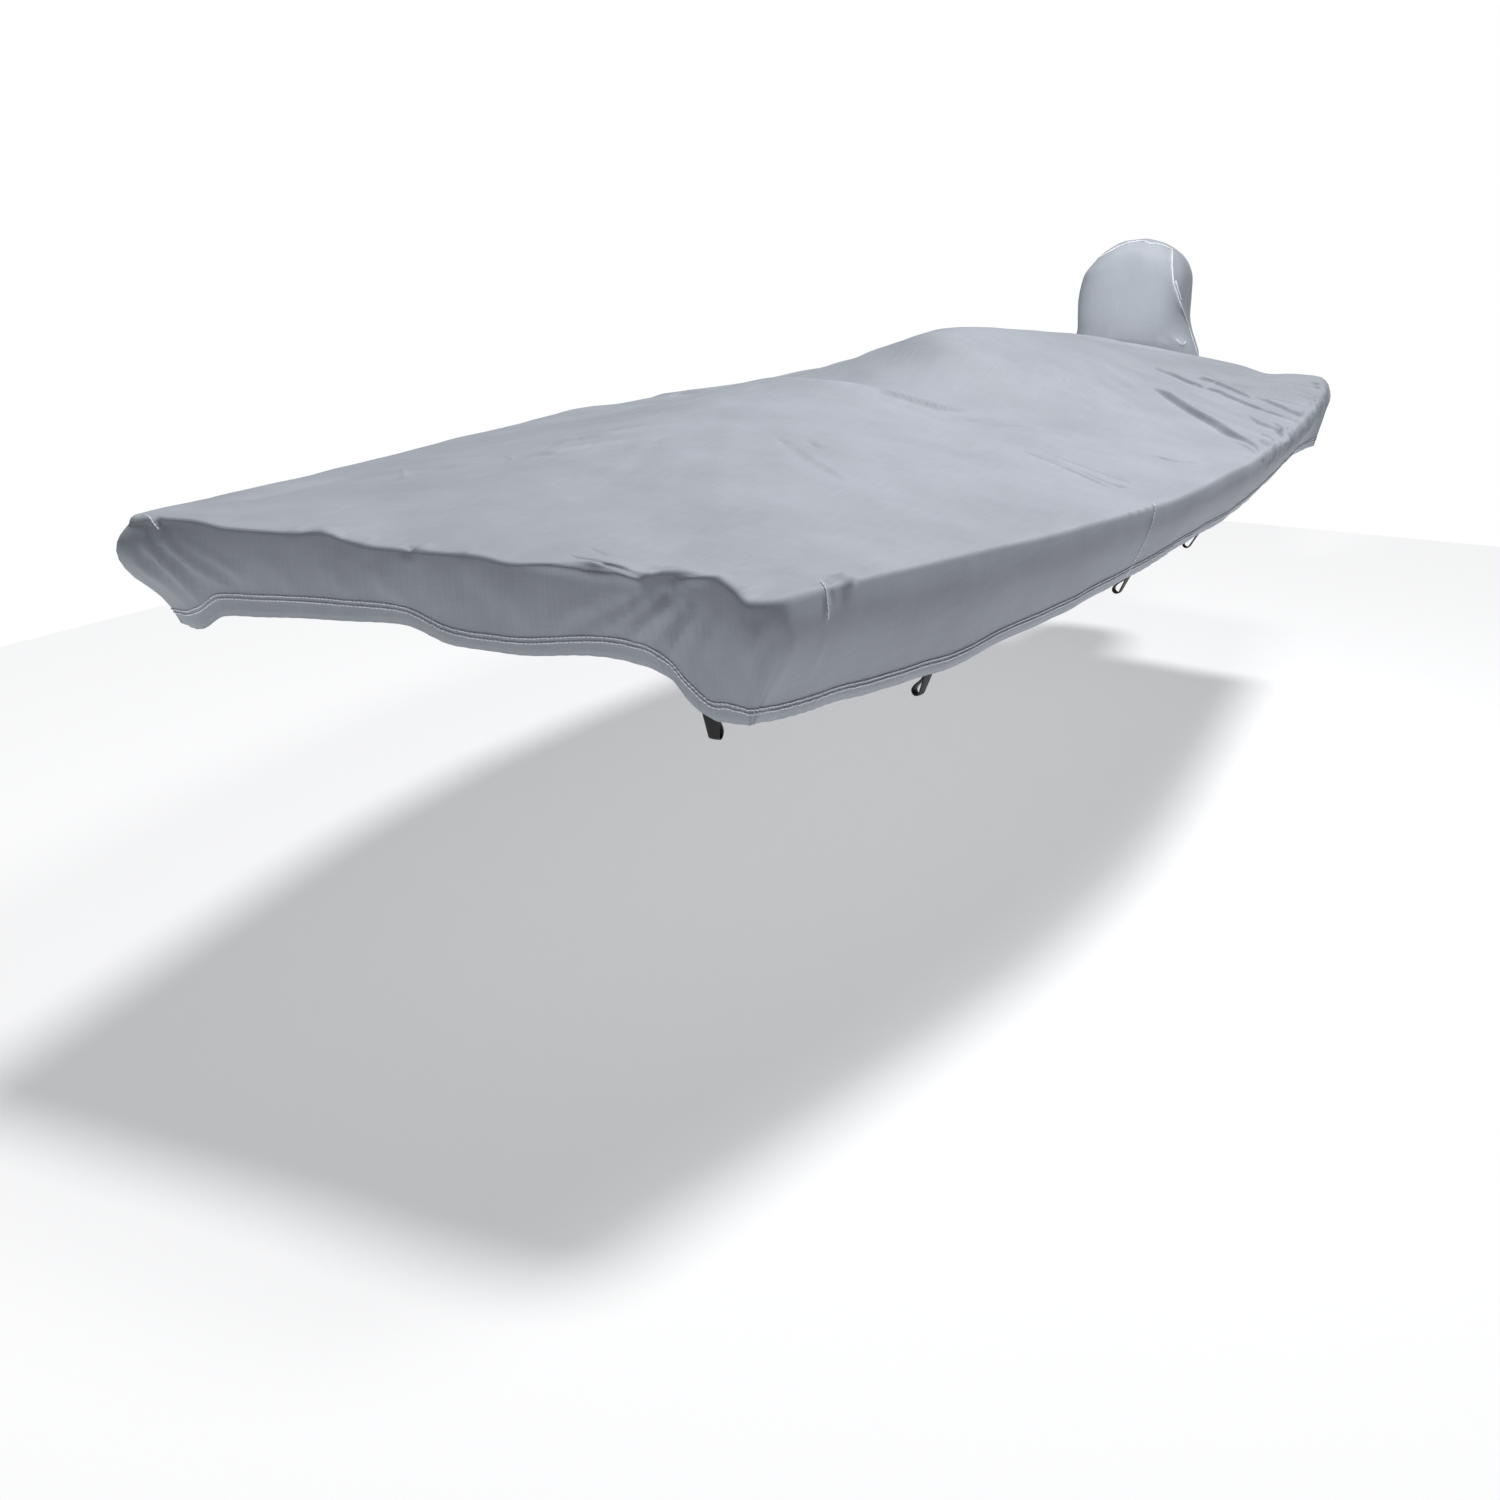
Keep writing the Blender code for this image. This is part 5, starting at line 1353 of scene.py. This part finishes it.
def on_cloth(line, mesh_vertices, mesh_normals):
    """The nearest place of the shaped cloth for each point of a line, lifted for the thread."""
    tree = search_tree(mesh_vertices)
    laid = []
    for point in line:
        found = tree.find_n(point, NEIGHBOURS)
        weights = np.array([1 / (f[2] + NEIGHBOUR_SOFT) for f in found])
        nearest = [f[1] for f in found]
        normal = (mesh_normals[nearest] * weights[:, None]).sum(axis=0)
        normal /= np.linalg.norm(normal)
        away = point - (mesh_vertices[nearest] * weights[:, None]).sum(axis=0) / weights.sum()
        laid.append(point - normal * (away @ normal - STITCH_LIFT))
    return np.array(laid)


def sewn_line(points, beside, mesh_vertices, mesh_normals):
    line = smooth_line(metres(points), SEAM_STEP) + [0, beside, 0]
    return on_cloth(line, mesh_vertices, mesh_normals)


stitch_lines += [sewn_line(points, SEAM_BESIDE, shaped, body_normals) for points in SEAM_ROWS]
for rows_beside, points in HOOD_SEAMS:
    stitch_lines += [sewn_line(points, beside, hood_shaped, hood_normals) for beside in rows_beside]
print(len(stitch_lines), "lines of stitches")

# %% The tree that sets the stitches
STITCH_SEED = 3
STITCH_UNEVEN = (0.86, 1.12)     # least and greatest length of a stitch, as shares of its length


def stitch_tree(finish):
    tree = bpy.data.node_groups.new("stitches along lines", "GeometryNodeTree")
    face = tree.interface
    face.new_socket(name="Lines", in_out="INPUT", socket_type="NodeSocketGeometry")
    for name in ("Pitch", "Length", "Radius"):
        face.new_socket(name=name, in_out="INPUT", socket_type="NodeSocketFloat")
    face.new_socket(name="Seed", in_out="INPUT", socket_type="NodeSocketInt")
    face.new_socket(name="Stitches", in_out="OUTPUT", socket_type="NodeSocketGeometry")
    given = add_node(tree, "NodeGroupInput").outputs
    curve = add_node(tree, "GeometryNodeMeshToCurve", _0=given["Lines"])
    spaced_out = add_node(tree, "GeometryNodeResampleCurve", {"mode": "LENGTH"},
                          Curve=curve.outputs[0], Length=given["Pitch"])
    spindle = add_node(tree, "GeometryNodeMeshUVSphere", Segments=6, Rings=4, Radius=0.5)
    along = add_node(tree, "FunctionNodeAlignRotationToVector", {"axis": "Z"},
                     Vector=add_node(tree, "GeometryNodeInputTangent").outputs[0])
    shortest, longest = STITCH_UNEVEN
    uneven = add_node(tree, "FunctionNodeRandomValue", {"data_type": "FLOAT"}, _2=shortest,
                      _3=longest, Seed=given["Seed"])
    length = add_node(tree, "ShaderNodeMath", {"operation": "MULTIPLY"}, _0=given["Length"],
                      _1=uneven.outputs[1])
    across = add_node(tree, "ShaderNodeMath", {"operation": "MULTIPLY"}, _0=given["Radius"], _1=2.0)
    size = add_node(tree, "ShaderNodeCombineXYZ", X=across.outputs[0], Y=across.outputs[0],
                    Z=length.outputs[0])
    placed = add_node(tree, "GeometryNodeInstanceOnPoints", Points=spaced_out.outputs[0],
                      Instance=spindle.outputs[0], Rotation=along.outputs[0], Scale=size.outputs[0])
    real = add_node(tree, "GeometryNodeRealizeInstances", _0=placed.outputs[0])
    soft = add_node(tree, "GeometryNodeSetShadeSmooth", _0=real.outputs[0])
    dressed = add_node(tree, "GeometryNodeSetMaterial", _0=soft.outputs[0], Material=finish)
    add_node(tree, "NodeGroupOutput", _0=dressed.outputs[0])
    return tree


def sew(name, lines, finish):
    """One plain mesh with all the stitches of these lines."""
    points, pairs = [], []
    for line in lines:
        start = len(points)
        points += [tuple(p) for p in np.array(line) + SHIFT]
        pairs += [(k, k + 1) for k in range(start, len(points) - 1)]
    mesh = bpy.data.meshes.new(name + "_lines")
    mesh.from_pydata(points, pairs, [])
    guide = add_piece(name + "_lines", mesh)
    modifier = guide.modifiers.new("stitches", "NODES")
    modifier.node_group = stitch_tree(finish)
    sizes = {"Pitch": STITCH_PITCH, "Length": STITCH_LENGTH, "Radius": THREAD_RADIUS,
             "Seed": STITCH_SEED}
    for item in modifier.node_group.interface.items_tree:
        if item.item_type == "SOCKET" and item.name in sizes:
            modifier[item.identifier] = sizes[item.name]
    evaluated = guide.evaluated_get(bpy.context.evaluated_depsgraph_get())
    stitched = bpy.data.meshes.new_from_object(evaluated)
    bpy.data.objects.remove(guide, do_unlink=True)
    stitched.name = name
    return add_piece(name, stitched)


# %% [markdown]
# ## Materials
#
# The cloth is a marine cover fabric: a plain weave of polyester yarn with a water-repellent
# coating. The coating keeps it matt, with a faint broad sheen at low angles. The yarns vary in
# thickness, so that thin streaks run along both of its directions, and outdoor use leaves a soft
# mottling of dust. The pattern is laid on the cloth's own flat layout, so that it turns with the
# cloth at the rim instead of sliding over it.

# %% Coated polyester
WAVE_TURN = 2 * math.pi / 20     # length of one band of a Wave Texture at scale 1
# Real yarns are 0.5 mm apart, too fine for the render: the weave is drawn with 3.2 mm spacing.
YARN_SPACING = 0.0032
SLUB_WIDTH = 0.0045              # of the streaks that uneven yarns leave
SLUB_STRETCH = 0.030             # their width as a share of their length
SLUB_ACROSS = 0.40               # share of those that run across the cloth
DUST_SIZE = 0.30
TONE_RANGE = (0.32, 0.68)        # of the mottling, from the darker tint to the lighter one
DUST_RANGE = (0.3, 0.7)          # of the dust pattern, from clean to dusty
MATT_RANGE = (0.60, 0.74)        # roughness of clean and of dusty cloth


def coated_polyester(name, dark, light, slub):
    """Woven polyester with a matt water-repellent coating; slub is the share of its streaks."""
    cloth, tree, shader = new_finish(name)
    layout = add_node(tree, "ShaderNodeUVMap", {"uv_map": "cloth layout"}).outputs[0]
    turned = [add_node(tree, "ShaderNodeMapping", Vector=layout, Scale=scale).outputs[0]
              for scale in ((1.0, SLUB_STRETCH, 1.0), (SLUB_STRETCH, 1.0, 1.0))]
    streaks = [add_node(tree, "ShaderNodeTexNoise", Vector=place, Scale=1 / SLUB_WIDTH,
                        Detail=2.0, Roughness=0.6).outputs[0] for place in turned]
    slubs = add_node(tree, "ShaderNodeMix", {"data_type": "FLOAT"}, _0=SLUB_ACROSS, _2=streaks[0],
                     _3=streaks[1]).outputs[0]
    dust = add_node(tree, "ShaderNodeTexNoise", Vector=layout, Scale=1 / DUST_SIZE, Detail=5.0,
                    Roughness=0.62).outputs[0]
    patchy = add_node(tree, "ShaderNodeMix", {"data_type": "FLOAT"}, _0=slub, _2=dust, _3=slubs)
    tone = add_node(tree, "ShaderNodeMapRange", Value=patchy.outputs[0], _1=TONE_RANGE[0],
                    _2=TONE_RANGE[1])
    tint = add_node(tree, "ShaderNodeMix", {"data_type": "RGBA"}, _0=tone.outputs[0],
                    _6=colour(dark), _7=colour(light))
    yarns = [add_node(tree, "ShaderNodeTexWave", {"bands_direction": axis, "wave_profile": "SIN"},
                      Vector=layout, Scale=WAVE_TURN / YARN_SPACING, Distortion=0.6,
                      Detail=1.0, Detail_Scale=0.6).outputs[1] for axis in "XY"]
    weave = add_node(tree, "ShaderNodeMath", {"operation": "ADD"}, _0=yarns[0], _1=yarns[1])
    bumps = add_node(tree, "ShaderNodeMath", {"operation": "ADD"}, _0=weave.outputs[0], _1=slubs)
    relief = add_node(tree, "ShaderNodeBump", Strength=0.35, Distance=0.0004, Height=bumps.outputs[0])
    matt = add_node(tree, "ShaderNodeMapRange", Value=dust, _1=DUST_RANGE[0],
                    _2=DUST_RANGE[1], _3=MATT_RANGE[0], _4=MATT_RANGE[1])
    plug(shader, Base_Color=tint.outputs[2], Normal=relief.outputs[0], Roughness=matt.outputs[0],
         Specular_IOR_Level=0.35, Sheen_Weight=0.12, Sheen_Roughness=0.45,
         Sheen_Tint=colour("E8EEF6"))
    return cloth


cover_cloth = coated_polyester("coated polyester weave", "A2A7AF", "B8BDC5", 0.45)
hood_cloth = coated_polyester("coated polyester weave of the hood", "A3A8B0", "B1B6BE", 0.45)
body.data.materials.append(cover_cloth)
hood.data.materials.append(hood_cloth)
print("cloth finishes made")

# %% [markdown]
# ## Thread and webbing
#
# Sewing thread for outdoor covers is bonded polyester: smooth, with a slight gloss, and brighter
# than the cloth, so that the rows of stitches read from afar. The webbing is woven from black
# polypropylene in coarse ribs, which give the eye a fine dark grain. Both patterns could be
# modelled yarn by yarn, but pieces this small only need a wave pattern in colour and bump.

# %% Thread and webbing
SOIL_SIZE, TWIST_LENGTH = 1 / 9, 0.0009          # soiled patches and twist of the thread
RIB_SPACING, WARP_SPACING = 0.0022, 0.0045       # ribs and lengthwise yarns of the webbing


def spun_thread():
    """Bonded white polyester sewing thread: smooth, slightly glossy, a little soiled."""
    thread, tree, shader = new_finish("white bonded polyester thread")
    place = add_node(tree, "ShaderNodeTexCoord").outputs["Object"]
    soil = add_node(tree, "ShaderNodeTexNoise", Vector=place, Scale=1 / SOIL_SIZE, Detail=3.0)
    tint = add_node(tree, "ShaderNodeMix", {"data_type": "RGBA"}, _0=soil.outputs[0],
                    _6=colour("F0F5FF"), _7=colour("FCFDFF"))
    twist = add_node(tree, "ShaderNodeTexWave", {"bands_direction": "DIAGONAL"}, Vector=place,
                     Scale=WAVE_TURN / TWIST_LENGTH)
    relief = add_node(tree, "ShaderNodeBump", Strength=0.2, Distance=0.0001, Height=twist.outputs[1])
    plug(shader, Base_Color=tint.outputs[2], Normal=relief.outputs[0], Roughness=0.5)
    return thread


def woven_webbing():
    """Black polypropylene webbing: flat ribs across its length, soft gloss on each yarn."""
    webbing, tree, shader = new_finish("black polypropylene webbing")
    layout = add_node(tree, "ShaderNodeUVMap", {"uv_map": "cloth layout"}).outputs[0]
    ribs = add_node(tree, "ShaderNodeTexWave", {"bands_direction": "Y"}, Vector=layout,
                    Scale=WAVE_TURN / RIB_SPACING, Distortion=0.4, Detail=1.0)
    lengthwise = add_node(tree, "ShaderNodeTexWave", {"bands_direction": "X"}, Vector=layout,
                          Scale=WAVE_TURN / WARP_SPACING)
    woven = add_node(tree, "ShaderNodeMath", {"operation": "MULTIPLY"}, _0=ribs.outputs[1],
                     _1=lengthwise.outputs[1])
    tint = add_node(tree, "ShaderNodeMix", {"data_type": "RGBA"}, _0=woven.outputs[0],
                    _6=colour("0B0B0C"), _7=colour("26272A"))
    relief = add_node(tree, "ShaderNodeBump", Strength=0.6, Distance=0.0005, Height=woven.outputs[0])
    plug(shader, Base_Color=tint.outputs[2], Normal=relief.outputs[0], Roughness=0.55)
    return webbing


thread = spun_thread()
webbing = woven_webbing()
for piece in loops.values():
    piece.data.materials.append(webbing)
stitches = sew("sewing_thread", stitch_lines, thread)
print("stitches:", len(stitches.data.polygons), "faces")

# %% [markdown]
# ## Attach the pieces
#
# Each piece is attached to the root, and the solid of the model that it stands for, where it has one, is
# hidden.

# %% Attach each piece and hide the solid it stands for
for piece, finish, node in ((body, "cover_cloth", "cover_body"), (hood, "hood_cloth", "motor_hood")):
    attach(piece, "root")
    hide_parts(node)
for node, piece in loops.items():
    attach(piece, "root")
    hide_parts(node)
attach(stitches, "root")
bpy.context.scene.view_settings.view_transform = "Standard"
